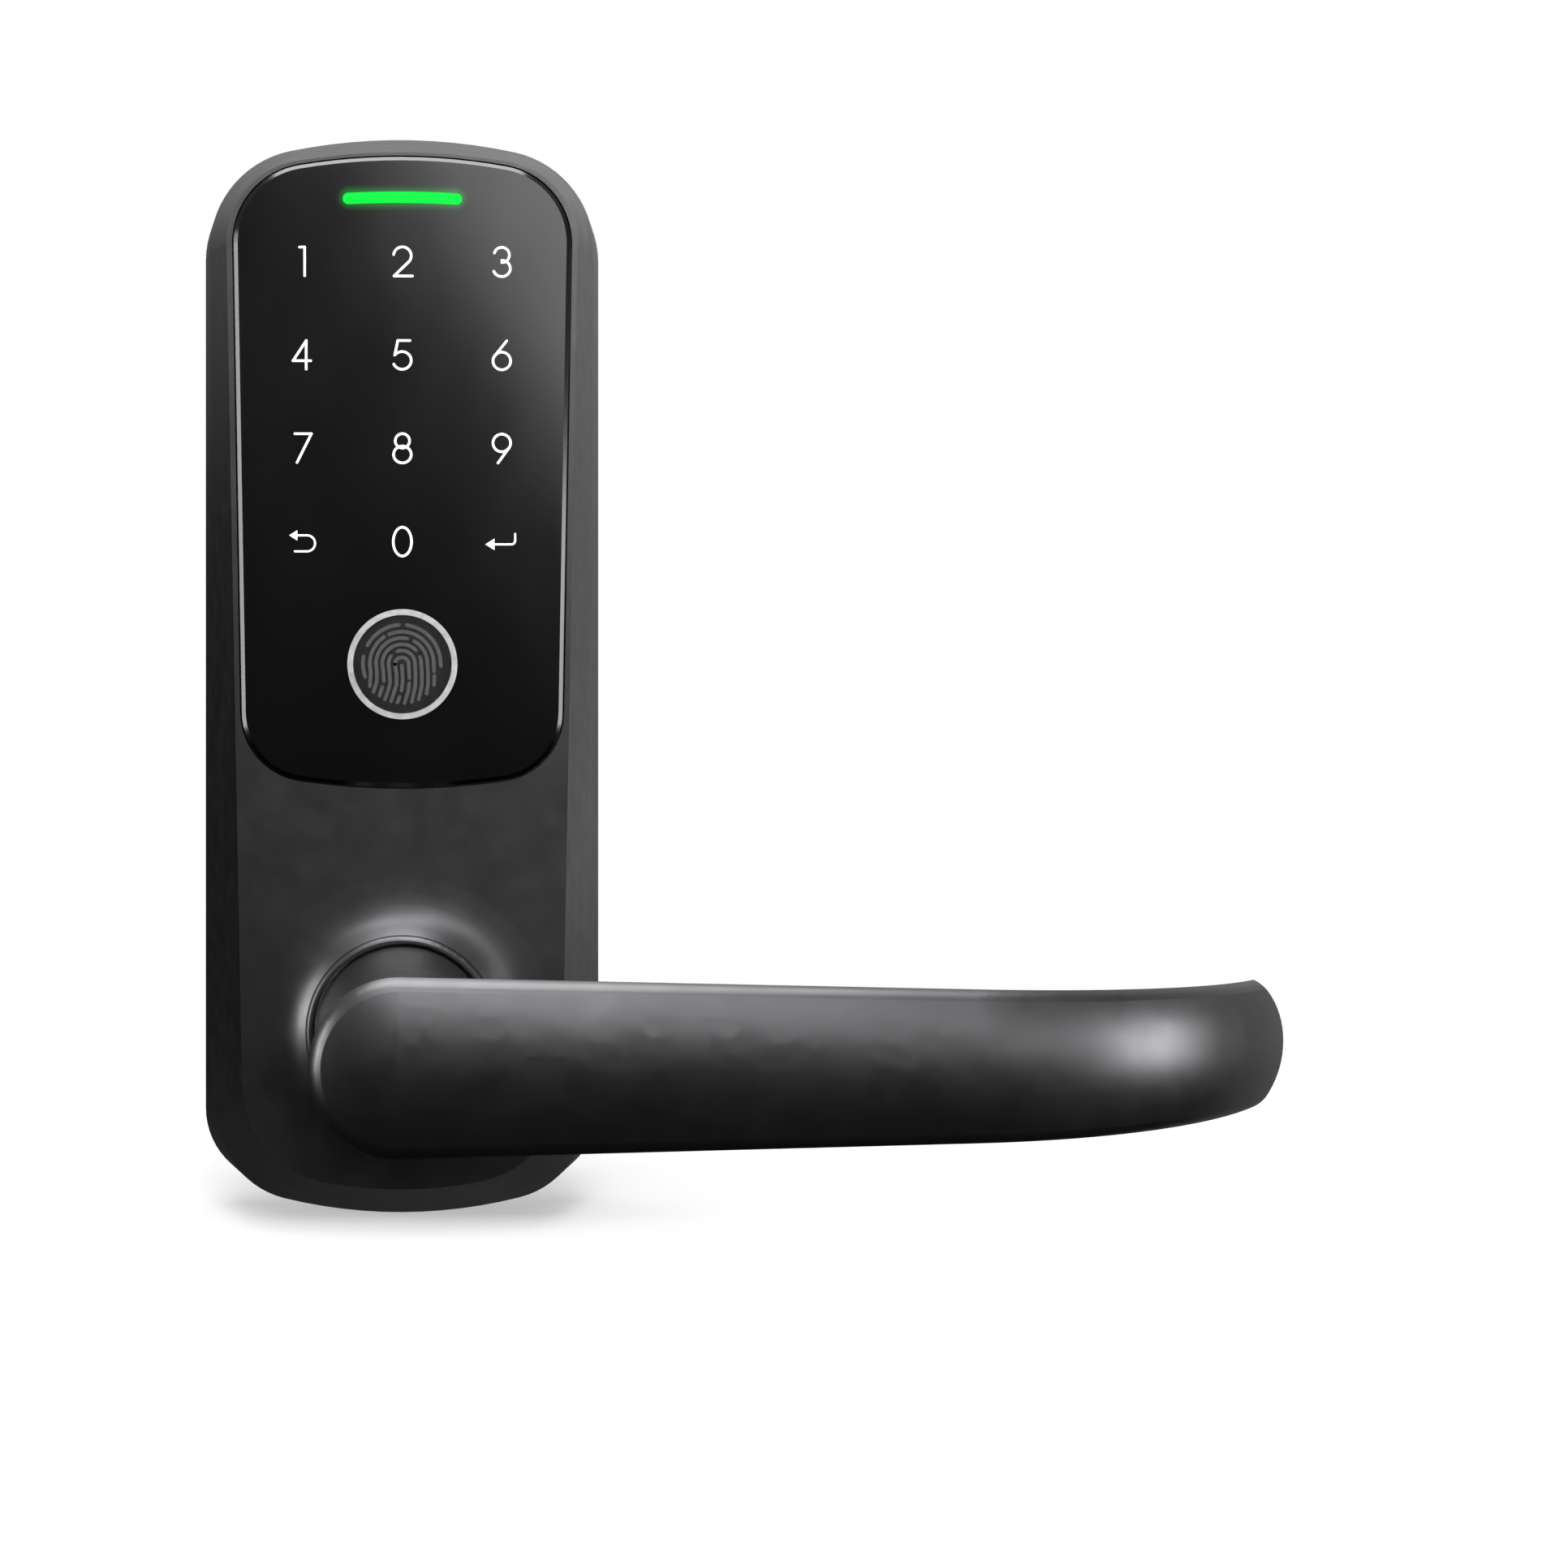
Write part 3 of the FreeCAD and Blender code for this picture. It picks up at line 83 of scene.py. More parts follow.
class Finish:
    """A surface finish: a Principled shader with the nodes that vary it."""

    def __init__(self, name, colour, roughness, metallic=0.0, **sockets):
        self.material = bpy.data.materials.new(name)
        self.material.use_nodes = True
        self.tree = self.material.node_tree
        self.shader = self.tree.nodes["Principled BSDF"]
        self.shader.inputs["Base Color"].default_value = (*colour, 1)
        self.shader.inputs["Roughness"].default_value = roughness
        self.shader.inputs["Metallic"].default_value = metallic
        for socket, value in sockets.items():
            self.shader.inputs[socket.replace("_", " ")].default_value = value
        self.colour = colour

    def node(self, kind, **settings):
        made = self.tree.nodes.new(kind)
        for name, value in settings.items():
            setattr(made, name, value)
        return made

    def grain(self, size, detail=3.0, stretch=(1, 1, 1), kind="ShaderNodeTexNoise"):
        """A noise whose grains are about this many millimetres, drawn out along the axes given."""
        place = self.node("ShaderNodeTexCoord")
        scale = self.node("ShaderNodeMapping")
        scale.inputs["Scale"].default_value = [1 / (size * mm * s) for s in stretch]
        noise = self.node(kind)
        noise.inputs["Scale"].default_value = 1.0
        if kind == "ShaderNodeTexNoise":
            noise.inputs["Detail"].default_value = detail
        self.tree.links.new(place.outputs["Object"], scale.inputs["Vector"])
        self.tree.links.new(scale.outputs["Vector"], noise.inputs["Vector"])
        return noise.outputs[0]

    def spread(self, value, low, high):
        """Maps a noise from its middle range onto low to high."""
        ramp = self.node("ShaderNodeMapRange")
        ramp.inputs["From Min"].default_value = 0.3
        ramp.inputs["From Max"].default_value = 0.7
        ramp.inputs["To Min"].default_value = low
        ramp.inputs["To Max"].default_value = high
        self.tree.links.new(value, ramp.inputs["Value"])
        return ramp.outputs["Result"]

    def rough(self, value, low, high):
        self.tree.links.new(self.spread(value, low, high), self.shader.inputs["Roughness"])
        return self

    def shade(self, value, low, high):
        """Varies the colour's brightness between two shares of itself."""
        mix = self.node("ShaderNodeMix", data_type="RGBA")
        mix.inputs["A"].default_value = (*[c * low for c in self.colour], 1)
        mix.inputs["B"].default_value = (*[min(1, c * high) for c in self.colour], 1)
        self.tree.links.new(self.spread(value, 0, 1), mix.inputs["Factor"])
        self.tree.links.new(mix.outputs["Result"], self.shader.inputs["Base Color"])
        return self

    def bump(self, value, depth, strength=1.0):
        """Raises the surface by a noise, to a depth in millimetres."""
        relief = self.node("ShaderNodeBump")
        relief.inputs["Distance"].default_value = depth * mm
        relief.inputs["Strength"].default_value = strength
        self.tree.links.new(value, relief.inputs["Height"])
        last = self.shader.inputs["Normal"].links
        if last:
            self.tree.links.new(last[0].from_socket, relief.inputs["Normal"])
        self.tree.links.new(relief.outputs["Normal"], self.shader.inputs["Normal"])
        return self

    def wear(self, colour, low=0.54, high=0.62, strength=0.5):
        """Rubs the finish through to another colour along the sharpest edges."""
        edge = self.node("ShaderNodeNewGeometry")
        ramp = self.node("ShaderNodeMapRange")
        ramp.inputs["From Min"].default_value = low
        ramp.inputs["From Max"].default_value = high
        ramp.inputs["To Max"].default_value = strength
        mix = self.node("ShaderNodeMix", data_type="RGBA")
        base = self.shader.inputs["Base Color"]
        mix.inputs["A"].default_value = base.default_value
        if base.links:
            self.tree.links.new(base.links[0].from_socket, mix.inputs["A"])
        mix.inputs["B"].default_value = (*colour, 1)
        self.tree.links.new(edge.outputs["Pointiness"], ramp.inputs["Value"])
        self.tree.links.new(ramp.outputs["Result"], mix.inputs["Factor"])
        self.tree.links.new(mix.outputs["Result"], base)
        return self


def dress(finish, *names):
    """Gives CAD nodes a finish."""
    for name in names:
        slots = nodes[name].material_slots
        for place in slots:
            place.material = finish.material


# the shelf shows the lamps' light and the lock's shadow near the lock, and fades to plain white further
# out and towards its front edge; in the lock's own reflections it is grey, and black on the left
shelf_white = Finish("shelf_white", (0.86, 0.86, 0.86), 0.7)
shelf_white.bump(shelf_white.grain(1.5), 0.02)


def fade(finish, socket, start, end, low=0.0, high=1.0):
    """A level that runs from low to high along one direction of the stage, in millimetres."""
    made = finish.node("ShaderNodeMapRange")
    for name, value in zip(("From Min", "From Max"), (start, end)):
        made.inputs[name].default_value = value * mm
    made.inputs["To Min"].default_value, made.inputs["To Max"].default_value = low, high
    finish.tree.links.new(socket, made.inputs["Value"])
    return made.outputs["Result"]


def sum_of(finish, operation, first, second):
    """Two levels put together by one sum."""
    made = finish.node("ShaderNodeMath", operation=operation)
    for socket, level in zip(made.inputs, (first, second)):
        finish.tree.links.new(level, socket)
    return made.outputs[0]


def light_up(finish, white, mirrored):
    """Mixes in a glow: white to the camera by one level, and another level in reflections."""
    ray = finish.node("ShaderNodeLightPath")
    glow = finish.node("ShaderNodeEmission")
    blend = finish.node("ShaderNodeMixShader")
    mirror_ray = sum_of(finish, "MAXIMUM", ray.outputs["Is Glossy Ray"], ray.outputs["Is Transmission Ray"])
    white = sum_of(finish, "MULTIPLY", white, ray.outputs["Is Camera Ray"])
    strength = sum_of(finish, "MAXIMUM", ray.outputs["Is Camera Ray"], mirrored)
    finish.tree.links.new(strength, glow.inputs["Strength"])
    finish.tree.links.new(sum_of(finish, "MAXIMUM", white, mirror_ray), blend.inputs["Fac"])
    finish.tree.links.new(finish.shader.outputs[0], blend.inputs[1])
    finish.tree.links.new(glow.outputs[0], blend.inputs[2])
    finish.tree.links.new(blend.outputs[0], finish.tree.nodes["Material Output"].inputs["Surface"])


place = shelf_white.node("ShaderNodeTexCoord")
reach = shelf_white.node("ShaderNodeVectorMath", operation="LENGTH")
apart = shelf_white.node("ShaderNodeSeparateXYZ")
shelf_white.tree.links.new(place.outputs["Object"], reach.inputs[0])
shelf_white.tree.links.new(place.outputs["Object"], apart.inputs[0])
outward = fade(shelf_white, reach.outputs["Value"], 90, 400, low=0.45)
forward = fade(shelf_white, apart.outputs["Y"], -6, -30, low=0.3)
light_up(shelf_white, sum_of(shelf_white, "MAXIMUM", outward, forward),
         fade(shelf_white, apart.outputs["X"], -100, 350, high=0.35))
shelf.data.materials.append(shelf_white.material)

# the ground below the shelf is white to the camera and black velvet to everything else
velvet = Finish("ground_velvet", (0.02, 0.02, 0.02), 0.9)
velvet.bump(velvet.grain(1.0), 0.05)
place = velvet.node("ShaderNodeTexCoord")
apart = velvet.node("ShaderNodeSeparateXYZ")
velvet.tree.links.new(place.outputs["Object"], apart.inputs[0])
light_up(velvet, fade(velvet, apart.outputs["Z"], -200, -199, low=1.0),
         fade(velvet, apart.outputs["Z"], -200, -199, high=0.01))
ground.data.materials.append(velvet.material)

# the room: white to the camera, and in reflections a white backdrop behind the lock that a black flag
# dims on the left, with a dim studio in front that is darker towards the floor
world = bpy.data.worlds.new("studio")
bpy.context.scene.world = world
world.use_nodes = True
tree = world.node_tree
room = tree.nodes["Background"]
ray = tree.nodes.new("ShaderNodeLightPath")
place = tree.nodes.new("ShaderNodeTexCoord")
apart = tree.nodes.new("ShaderNodeSeparateXYZ")
tree.links.new(place.outputs["Generated"], apart.inputs[0])


def ramp(axis, start, end, low, high):
    """A level that rises along a direction of the room."""
    made = tree.nodes.new("ShaderNodeMapRange")
    for name, value in zip(("From Min", "From Max", "To Min", "To Max"), (start, end, low, high)):
        made.inputs[name].default_value = value
    tree.links.new(apart.outputs[axis], made.inputs["Value"])
    return made.outputs["Result"]


def combine(operation, first, second):
    """Two levels put together by one sum."""
    made = tree.nodes.new("ShaderNodeMath")
    made.operation = operation
    tree.links.new(first, made.inputs[0])
    tree.links.new(second, made.inputs[1])
    return made.outputs[0]


def choose(factor, first, second):
    """One level or another, by a factor. A plain number may stand for either."""
    made = tree.nodes.new("ShaderNodeMix")
    made.data_type = "FLOAT"
    tree.links.new(factor, made.inputs["Factor"])
    for socket, level in (("A", first), ("B", second)):
        if isinstance(level, float):
            made.inputs[socket].default_value = level
        else:
            tree.links.new(level, made.inputs[socket])
    return made.outputs["Result"]


backdrop = combine("ADD", ramp("X", -0.2, 0.55, 0.0, 0.38), ramp("Z", 0.1, 0.5, 0.0, 0.55))
front = ramp("Z", -0.2, 0.65, 0.0, 0.36)
mirrored = choose(ramp("Y", -0.2, 0.35, 0.0, 1.0), front, backdrop)
mirror_ray = combine("MAXIMUM", ray.outputs["Is Glossy Ray"], ray.outputs["Is Transmission Ray"])
level = choose(ray.outputs["Is Camera Ray"], choose(mirror_ray, 0.2, mirrored), 1.0)
tree.links.new(level, room.inputs["Strength"])
room.inputs["Color"].default_value = (1, 1, 1, 1)


def softbox(name, place, target, width, height, watts):
    """A rectangular lamp that faces a target point."""
    data = bpy.data.lights.new(name, "AREA")
    data.shape = "RECTANGLE"
    data.size, data.size_y = width, height
    data.energy = watts
    lamp = bpy.data.objects.new(name, data)
    lamp.location = place
    lamp.rotation_euler = (Vector(target) - Vector(place)).to_track_quat("-Z", "Y").to_euler()
    bpy.context.scene.collection.objects.link(lamp)
    return lamp


middle = (case_low + case_high) / 2
softbox("top_softbox", (-0.05, -0.15, 0.95), middle, 0.7, 0.6, 11.0)
softbox("upper_front_softbox", (-0.05, -0.72, 0.68), middle, 0.5, 0.25, 3.0)
softbox("right_softbox", (0.95, -0.42, 0.0), middle, 0.36, 0.4, 5.0)
softbox("right_front_strip", (0.48, -0.55, 0.1), middle, 0.55, 0.22, 0.85)
softbox("left_strip", (-0.85, -0.32, 0.08), middle, 0.14, 0.7, 5.5)
sheen = softbox("sheen_softbox", (0.13, -0.75, 0.362), (0, 0, 0.1), 0.24, 0.36, 1.15)
sheen.rotation_euler.rotate_axis("Z", math.radians(29))


# ---- casting and lever
# The escutcheon and the lever are die-cast zinc, polished, black-plated and lacquered to a fine satin.
# The coat is even, a little rubbed on the edges that hands and sleeves touch.
satin_black = Finish("satin_black", (0.08, 0.08, 0.083), 0.36, 0.95)
satin_black.shade(satin_black.grain(9, detail=4), 0.94, 1.06)
satin_black.rough(satin_black.grain(4, detail=6), 0.33, 0.39)
satin_black.bump(satin_black.grain(0.16, detail=2), 0.006, 0.6)
satin_black.wear((0.16, 0.16, 0.165), low=0.56, high=0.64, strength=0.35)
dress(satin_black, "escutcheon")

# the lever's coat is the same without the rubbed edges, a little smoother and more even, as hands polish it
lever_black = Finish("lever_black", (0.08, 0.08, 0.083), 0.35, 0.95)
lever_black.shade(lever_black.grain(14, detail=4), 0.95, 1.05)
lever_black.rough(lever_black.grain(5, detail=6), 0.32, 0.38)
lever_black.bump(lever_black.grain(0.16, detail=2), 0.005, 0.6)
dress(lever_black, "lever_handle")
even = nodes["lever_handle"].modifiers.new("even_shading", "WEIGHTED_NORMAL")
even.weight = 100
even.keep_sharp = True

# ---- seal against the door, rear plate and what stands on it
# A moulded rubber rim closes the gap to the door. The plate is zinc-plated steel, held by eight pan
# head screws; two turned posts, a nylon bore collar and a cable grommet are fixed to it.
rubber = Finish("black_rubber", (0.028, 0.028, 0.029), 0.75)
rubber.shade(rubber.grain(1.2), 0.8, 1.25)
rubber.bump(rubber.grain(0.12), 0.01)
dress(rubber, "door_gasket", "lens_seal", "cable_grommet")

plated_steel = Finish("zinc_plated_steel", (0.50, 0.51, 0.53), 0.34, 1.0)
plated_steel.shade(plated_steel.grain(3, detail=5), 0.93, 1.05)
plated_steel.rough(plated_steel.grain(1.2, stretch=(12, 12, 1)), 0.26, 0.44)
plated_steel.bump(plated_steel.grain(0.2, stretch=(1, 1, 14)), 0.004)
dress(plated_steel, "rear_plate", "lever_hub", "stop_ring", "square_spindle", "slider_guide", "motor_bracket")

screw_steel = Finish("screw_steel", (0.58, 0.58, 0.60), 0.28, 1.0)
screw_steel.shade(screw_steel.grain(0.8), 0.85, 1.1)
screw_steel.rough(screw_steel.grain(0.5), 0.2, 0.38)
screw_steel.bump(screw_steel.grain(0.15), 0.003)
dress(screw_steel, "plate_screws", "stack_screws", "bracket_screws")

turned_steel = Finish("turned_steel", (0.55, 0.55, 0.57), 0.25, 1.0)
turned_steel.shade(turned_steel.grain(3), 0.88, 1.06)
turned_steel.rough(turned_steel.grain(0.25, stretch=(30, 1, 30)), 0.18, 0.36)
turned_steel.bump(turned_steel.grain(0.12, stretch=(60, 1, 60)), 0.004)
dress(turned_steel, "left_fixing_post", "right_fixing_post", "lever_shank", "drive_sleeve", "clutch_pin",
      "motor_screw")

black_nylon = Finish("black_nylon", (0.03, 0.03, 0.032), 0.55)
black_nylon.shade(black_nylon.grain(5), 0.85, 1.2)
black_nylon.rough(black_nylon.grain(0.6), 0.48, 0.62)
black_nylon.bump(black_nylon.grain(0.25), 0.012)
dress(black_nylon, "bore_spigot", "board_carrier", "reader_module")

# ---- cover lens
# One piece of black-backed hard-coated acrylic with a polished edge, stuck down on its seal. It is
# flat and very smooth, with hardly any texture but faint wiping marks.
lens_black = Finish("lens_black", (0.0006, 0.0006, 0.0008), 0.16)
lens_black.rough(lens_black.grain(14, detail=5, stretch=(1, 1, 2)), 0.14, 0.18)
dress(lens_black, "cover_lens")

# ---- light bar
# A bar of milky acrylic with its own lamps behind it. It is lit green, brightest along its middle.
light_green = Finish("light_green", (0.0, 0.12, 0.01), 0.5, Specular_IOR_Level=0.1)
light_green.shader.inputs["Emission Color"].default_value = (0.0, 1.0, 0.058, 1)
light_green.shader.inputs["Emission Strength"].default_value = 1.0
light_green.bump(light_green.grain(0.4), 0.004)
dress(light_green, "light_bar")
bar_low, bar_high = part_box("light_bar")

# painted glow: the lens is given a green emission around the bar that fades out within the glow's width of
# the bar's edge, standing in for the bar's light spreading a little way through the lens
painted_glow_width = 2.4 * mm
place = lens_black.node("ShaderNodeTexCoord")
from_bar = lens_black.node("ShaderNodeVectorMath", operation="SUBTRACT")
from_bar.inputs[1].default_value = (bar_low + bar_high) / 2
aside = lens_black.node("ShaderNodeVectorMath", operation="ABSOLUTE")
beyond = lens_black.node("ShaderNodeVectorMath", operation="SUBTRACT")
beyond.inputs[1].default_value = ((bar_high.x - bar_low.x) / 2 - mm, 1, 0)
outside = lens_black.node("ShaderNodeVectorMath", operation="MAXIMUM")
outside.inputs[1].default_value = (0, 0, 0)
away = lens_black.node("ShaderNodeVectorMath", operation="LENGTH")
# the painted glow's strength on the lens: strongest at the bar, falling to none at the glow's width
painted_halo = lens_black.node("ShaderNodeMapRange", interpolation_type="SMOOTHERSTEP")
for socket, value in (("From Max", painted_glow_width), ("To Min", 0.22), ("To Max", 0.0)):
    painted_halo.inputs[socket].default_value = value
links = lens_black.tree.links
links.new(place.outputs["Object"], from_bar.inputs[0])
for before, after in ((from_bar, aside), (aside, beyond), (beyond, outside), (outside, away)):
    links.new(before.outputs["Vector"], after.inputs[0])
links.new(away.outputs["Value"], painted_halo.inputs["Value"])
links.new(painted_halo.outputs["Result"], lens_black.shader.inputs["Emission Strength"])
lens_black.shader.inputs["Emission Color"].default_value = (0.0, 1.0, 0.1, 1)


def flat_mesh(name, points, faces, body, finish):
    """A piece made of flat faces, riding on a body."""
    mesh = bpy.data.meshes.new(name)
    mesh.from_pydata([tuple(p) for p in points], [], faces)
    mesh.update()
    piece = bpy.data.objects.new(name, mesh)
    bpy.context.scene.collection.objects.link(piece)
    mesh.materials.append(finish.material)
    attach(piece, body)
    return piece


# ---- digits and signs
# Printed with the lens's backing as clear windows and lit from behind, so they read as flat white
# strokes with round ends, all of one width. Each drawing's unit is half its height.
lens_low, lens_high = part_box("cover_lens")
lens_face = lens_low.y
lit_white = Finish("lit_white", (0.85, 0.86, 0.86), 0.3)
lit_white.shader.inputs["Emission Color"].default_value = (0.93, 0.96, 0.96, 1)
lit_white.shader.inputs["Emission Strength"].default_value = 0.72
lit_white.bump(lit_white.grain(0.3), 0.002)
print_thickness = 0.02 * mm


def arc(x, z, radius, start, end, tall=1.0):
    """Points along an arc, from one angle to another, in degrees."""
    steps = max(3, int(abs(end - start) / 7))
    turns = [math.radians(start + (end - start) * i / steps) for i in range(steps + 1)]
    return [(x + radius * math.cos(t), z + radius * tall * math.sin(t)) for t in turns]


def stroke_faces(path, half, closed=False):
    """The outline of a stroke with round ends, as a ring of points on each side of its path."""
    if closed:
        path = path[:-1]
    count = len(path)
    left, right = [], []
    for i, (x, z) in enumerate(path):
        before = path[i - 1] if (i or closed) else path[i]
        after = path[(i + 1) % count] if (i + 1 < count or closed) else path[i]
        dx, dz = after[0] - before[0], after[1] - before[1]
        length = math.hypot(dx, dz) or 1
        nx, nz = -dz / length, dx / length
        if 0 < i < count - 1 or closed:
            ux, uz = path[i][0] - before[0], path[i][1] - before[1]
            run = math.hypot(ux, uz) or 1
            widen = 1 / max(0.5, (nx * -uz + nz * ux) / run)
        else:
            widen = 1
        left.append((x + nx * half * widen, z + nz * half * widen))
        right.append((x - nx * half * widen, z - nz * half * widen))
    if closed:
        return left + right, [[i, (i + 1) % count, count + (i + 1) % count, count + i] for i in range(count)]
    def cap(end, towards):
        base = math.atan2(end[1] - towards[1], end[0] - towards[0])
        turns = [base + math.radians(a) for a in (-67, -45, -22, 0, 22, 45, 67)]
        return [(end[0] + half * math.cos(t), end[1] + half * math.sin(t)) for t in turns]
    tail, head = cap(path[0], path[1]), cap(path[-1], path[-2])
    points = left + right + tail + head
    quads = [[i, i + 1, count + i + 1, count + i] for i in range(count - 1)]
    start = 2 * count
    quads.append([0, count] + list(range(start, start + 7)))
    quads.append([count - 1] + list(range(start + 7, start + 14))[::-1] + [2 * count - 1])
    return points, quads


def smooth_runs(path):
    """Splits a path where it turns sharply, so that each run is drawn with its own round ends."""
    runs, run = [], [path[0]]
    for before, point, after in zip(path, path[1:], path[2:]):
        run.append(point)
        into = math.atan2(point[1] - before[1], point[0] - before[0])
        out = math.atan2(after[1] - point[1], after[0] - point[0])
        if abs(math.remainder(out - into, math.tau)) > 0.6:
            runs.append(run)
            run = [point]
    return runs + [run + [path[-1]]]


def print_sign(name, x, z, strokes, unit, half, surface, body, finish, shapes=()):
    """Lays a drawing of strokes and filled shapes on a surface that faces the front."""
    points, faces = [], []
    for path in [run for whole in strokes for run in smooth_runs(whole)]:
        closed = math.dist(path[0], path[-1]) < 1e-6
        some, quads = stroke_faces([(x + u * unit, z + v * unit) for u, v in path], half, closed)
        faces += [[len(points) + i for i in quad] for quad in quads]
        points += some
    for shape in shapes:
        faces.append([len(points) + i for i in range(len(shape))])
        points += [(x + u * unit, z + v * unit) for u, v in shape]
    front = [(u, surface - print_thickness, v) for u, v in points]
    piece = flat_mesh(name, front, faces, body, finish)
    bm = bmesh.new()
    bm.from_mesh(piece.data)
    bmesh.ops.recalc_face_normals(bm, faces=bm.faces)
    for face in bm.faces:
        if face.normal.y > 0:
            face.normal_flip()
    bm.to_mesh(piece.data)
    bm.free()
    thicken = piece.modifiers.new("thickness", "SOLIDIFY")
    thicken.thickness = print_thickness * 0.8
    thicken.offset = -1
    return piece


DIGITS = {
    "1": [[(-0.22, 0.93), (0.12, 0.93), (0.12, -0.95)]],
    "2": [arc(0, 0.39, 0.58, 172, -38) + [(-0.55, -0.94), (0.66, -0.94)]],
    "3": [arc(0.0, 0.47, 0.5, 165, -90) , arc(0.0, -0.42, 0.56, 90, -160, 0.95)],
    "4": [[(0.22, -0.95), (0.22, 0.92), (-0.64, -0.4), (0.52, -0.4)]],
    "5": [[(0.5, 0.95), (-0.3, 0.95), (-0.5, 0.0)] + arc(-0.02, -0.36, 0.6, 130, -155, 0.97)],
    "6": [arc(0, -0.37, 0.58, 0, 360), [(0.32, 0.95), (-0.48, -0.06)]],
    "7": [[(-0.52, 0.94), (0.56, 0.94), (-0.38, -0.95)]],
    "8": [arc(0, 0.49, 0.47, 0, 360), arc(0, -0.41, 0.58, 0, 360, 0.95)],
    "9": [arc(0, 0.37, 0.58, 0, 360), [(-0.25, -0.95), (0.48, 0.06)]],
    "0": [arc(0, 0, 0.6, 0, 360, 1.58)],
}
KEYPAD = [["1", "2", "3"], ["4", "5", "6"], ["7", "8", "9"], ["back", "0", "enter"]]
pitch_x, pitch_z = 15.56 * mm, 14.6 * mm
top_row = 120.3 * mm
digit_unit = 2.38 * mm
stroke_half = 0.19 * mm
sign_half = 0.155 * mm
for j, keys in enumerate(KEYPAD):
    for i, key in enumerate(keys):
        x, z = (i - 1) * pitch_x, top_row - j * pitch_z
        if key == "back":
            loop = [(-0.4, 0.4)] + arc(0.28, -0.125, 0.525, 90, -90) + [(-0.53, -0.65)]
            head = [(-0.9, 0.4), (-0.36, 0.74), (-0.36, 0.06)]
            print_sign("sign_back", x, z, [loop], digit_unit, sign_half, lens_face, "root", lit_white,
                       [head])
        elif key == "enter":
            loop = [(-0.53, -0.17)] + arc(0.63, 0.08, 0.25, -90, 0) + [(0.88, 0.52)]
            head = [(-1.08, -0.17), (-0.48, 0.21), (-0.48, -0.55)]
            print_sign("sign_enter", x, z, [loop], digit_unit, sign_half, lens_face, "root", lit_white,
                       [head])
        else:
            print_sign("digit_" + key, x, z, DIGITS[key], digit_unit, stroke_half, lens_face, "root",
                       lit_white)

# ---- fingerprint reader
# A turned stainless ring, brushed round, holds a dark glass pad. Grey ridges are printed under the pad.
ring_steel = Finish("ring_steel", (0.74, 0.74, 0.75), 0.38, 0.8)
ring_steel.shade(ring_steel.grain(1.6, detail=4), 0.8, 1.1)
ring_steel.rough(ring_steel.grain(0.35, detail=4), 0.3, 0.5)
ring_steel.bump(ring_steel.grain(0.15), 0.01)
dress(ring_steel, "reader_ring")
pad_glass = Finish("pad_glass", (0.012, 0.012, 0.013), 0.22, 0.0, Coat_Weight=0.4, Coat_Roughness=0.08)
pad_glass.rough(pad_glass.grain(3), 0.18, 0.28)
pad_glass.bump(pad_glass.grain(2), 0.004)
dress(pad_glass, "reader_pad")

pad_low, pad_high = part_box("reader_pad")
pad_middle = (pad_low + pad_high) / 2
ridge_grey = Finish("ridge_grey", (0.075, 0.075, 0.078), 0.4)
ridge_grey.shade(ridge_grey.grain(1.0), 0.85, 1.15)
ridge_half = 0.28 * mm

# arches: radius in pitches, then the stretches drawn, each from an angle to an angle, with how far the
# left and right legs run on below the centre
ridge_paths = [
    arc(0, 0, 6.2, 93, 152), arc(0, 0, 6.2, 84, 0) + [(6.25, -0.4)],
    arc(0, 0, 6.2, 168, 200),
    arc(0, 0, 5.1, 122, 183) + [(-4.95, -1.6), (-5.1, -3.6)],
    arc(0, 0, 5.1, 115, 0) + [(5.15, -1.2)],
    [(5.2, -1.8), (5.15, -3.4)],
    arc(0, 0, 4.1, 75, 180) + [(-3.95, -1.6), (-4.0, -3.0), (-4.5, -4.5)],
    arc(0, 0, 4.1, 63, 0) + [(4.2, -1.5), (4.2, -3.2), (3.95, -4.8)],
    arc(0, 0, 3.1, 40, 180) + [(-2.95, -1.4), (-2.85, -2.8)],
    [(-3.05, -3.6), (-3.55, -5.1)],
    arc(0, 0, 3.1, 22, 0) + [(3.2, -1.5), (3.2, -3.5), (2.7, -5.7)],
    arc(0, 0, 2.1, 115, 0) + [(2.2, -1.6), (2.15, -3.6), (1.6, -6.1)],
    arc(0, 0, 2.1, 140, 180) + [(-1.95, -1.4), (-1.85, -3.0), (-2.2, -4.4), (-2.7, -5.7)],
    arc(0, -0.1, 1.1, 180, 0) + [(1.15, -1.2), (1.2, -2.3)],
    arc(0, -0.1, 1.1, 180, 195) + [(-0.85, -1.6), (-0.85, -3.4), (-1.7, -6.0)],
    [(1.2, -3.0), (1.0, -4.5), (0.45, -6.3)],
    [(0, -0.1), (0.1, -1.4), (0.15, -2.8), (-0.05, -4.3)],
    [(-0.3, -5.2), (-0.7, -6.2)],
]
ridge_unit = 0.98 * mm
for i, path in enumerate(ridge_paths):
    print_sign(f"ridge_{i}", pad_middle.x - 0.1 * mm, pad_middle.z + 0.1 * mm, [path], ridge_unit,
               ridge_half, pad_low.y, "root", ridge_grey)

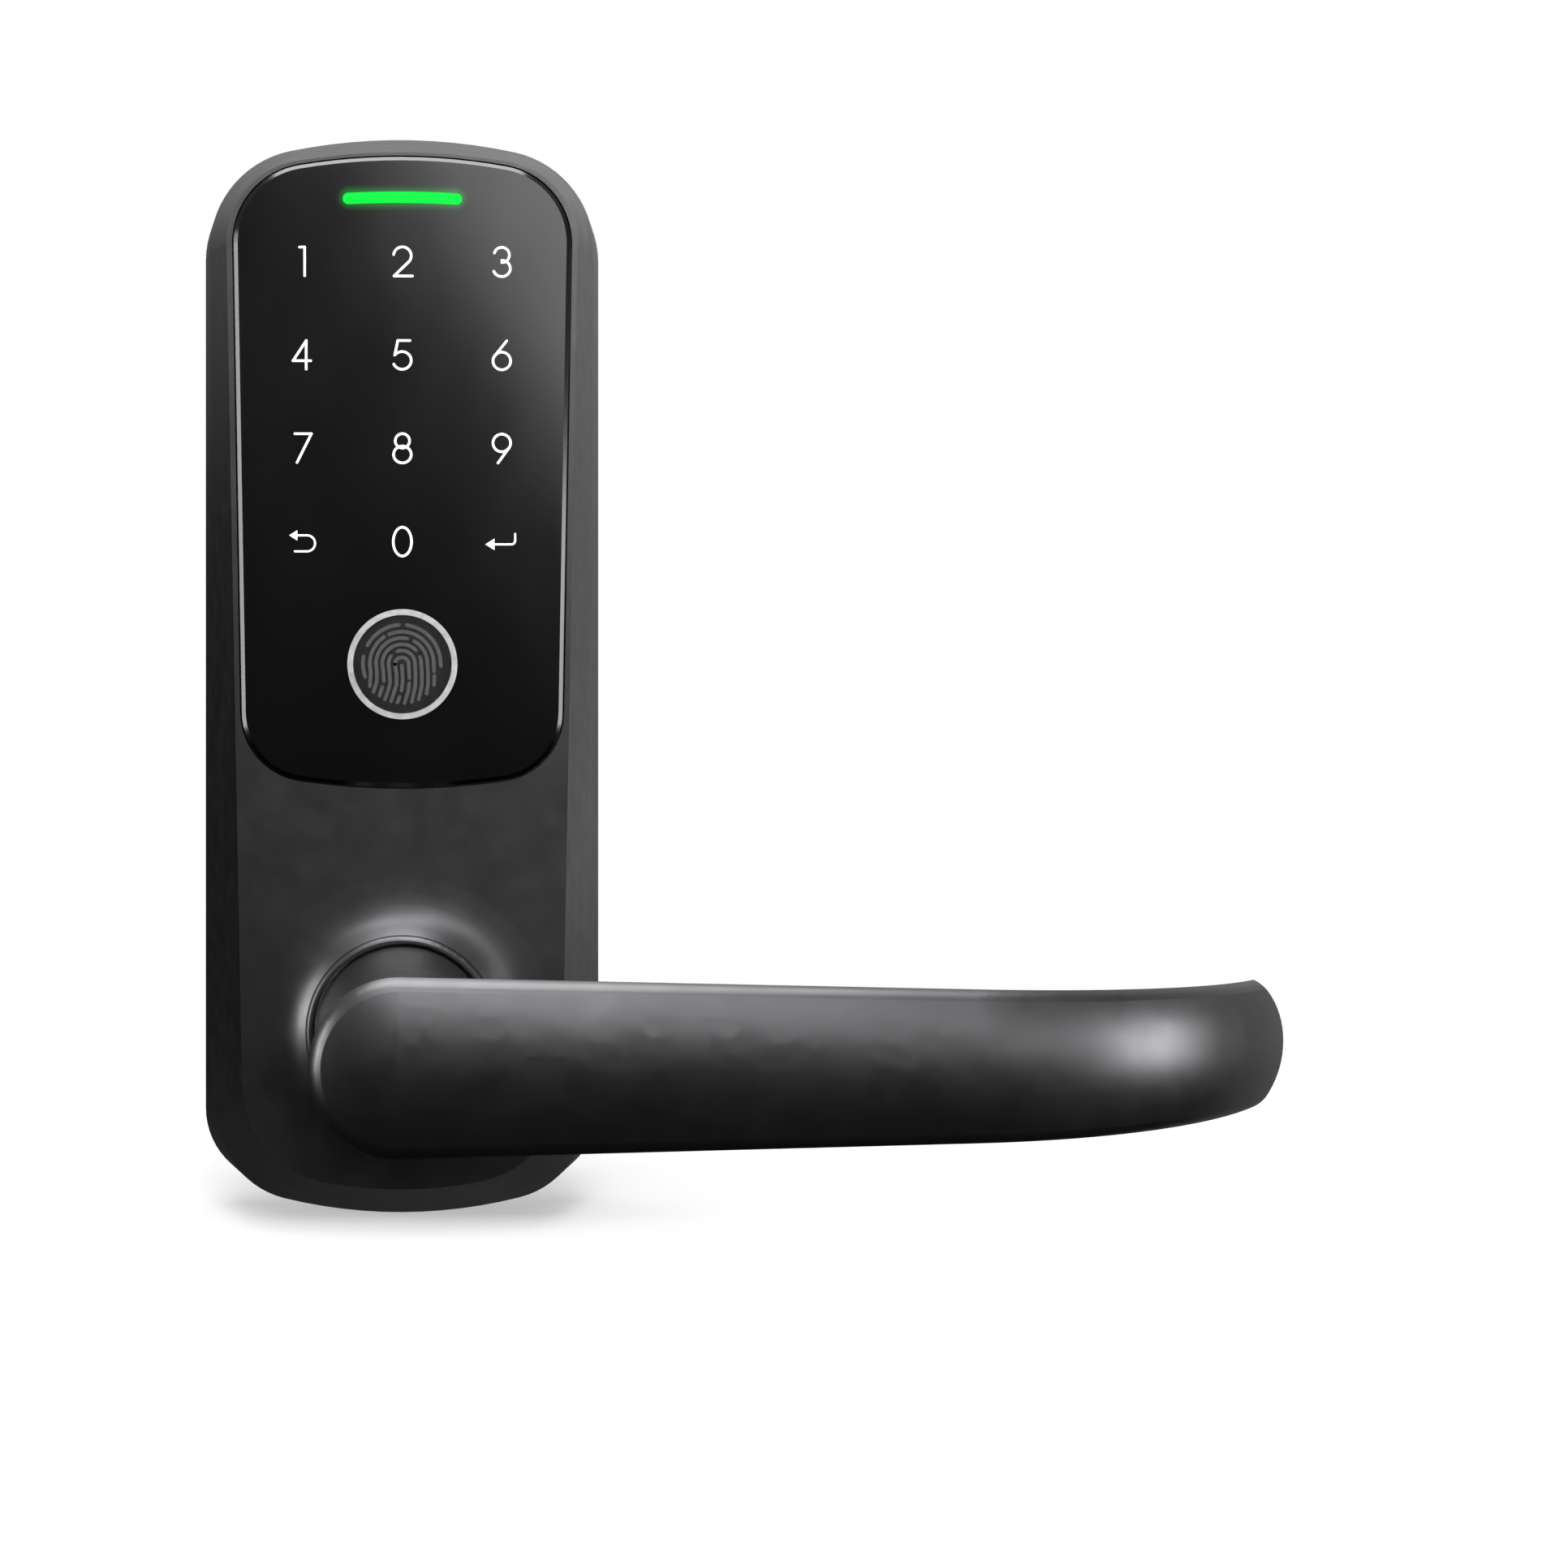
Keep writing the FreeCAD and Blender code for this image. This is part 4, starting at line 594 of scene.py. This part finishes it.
# ---- circuit board and what it carries
# Glass-fibre board with a green mask, moulded parts soldered on, and a milky light guide in front.
board_green = Finish("board_green", (0.012, 0.12, 0.045), 0.4, 0.0, Coat_Weight=0.5)
board_green.shade(board_green.grain(1.5, kind="ShaderNodeTexVoronoi"), 0.8, 1.2)
board_green.bump(board_green.grain(0.8), 0.01)
dress(board_green, "touch_board")
milky = Finish("milky_acrylic", (0.8, 0.81, 0.8), 0.3)
milky.shade(milky.grain(6), 0.95, 1.03)
milky.rough(milky.grain(2), 0.25, 0.38)
dress(milky, "light_guide", "board_lamps", "cable_socket")
chip_black = Finish("chip_black", (0.02, 0.02, 0.022), 0.5)
chip_black.shade(chip_black.grain(1.5), 0.8, 1.3)
chip_black.bump(chip_black.grain(0.2), 0.01)
dress(chip_black, "board_chips", "buzzer")
spring_steel = Finish("spring_steel", (0.36, 0.36, 0.38), 0.3, 1.0)
spring_steel.shade(spring_steel.grain(2), 0.88, 1.1)
spring_steel.rough(spring_steel.grain(0.6), 0.22, 0.4)
dress(spring_steel, "reader_clip", "shank_circlip", "return_spring", "spindle_pin", "clutch_spring")
acetal = Finish("acetal", (0.72, 0.70, 0.62), 0.4)
acetal.shade(acetal.grain(4), 0.93, 1.05)
acetal.rough(acetal.grain(1.2), 0.34, 0.46)
dress(acetal, "neck_bush", "clutch_slider")
brass = Finish("brass", (0.72, 0.52, 0.22), 0.3, 1.0)
brass.shade(brass.grain(1.5), 0.9, 1.06)
brass.rough(brass.grain(0.8), 0.22, 0.4)
dress(brass, "thrust_washer")
motor_can = Finish("motor_can", (0.62, 0.63, 0.65), 0.25, 1.0)
motor_can.shade(motor_can.grain(3), 0.9, 1.06)
motor_can.rough(motor_can.grain(0.6, stretch=(1, 1, 8)), 0.18, 0.34)
dress(motor_can, "clutch_motor")
black_oxide = Finish("black_oxide", (0.03, 0.03, 0.032), 0.45, 0.6)
black_oxide.shade(black_oxide.grain(0.8), 0.8, 1.25)
black_oxide.bump(black_oxide.grain(0.2), 0.006)
dress(black_oxide, "lever_set_screw")
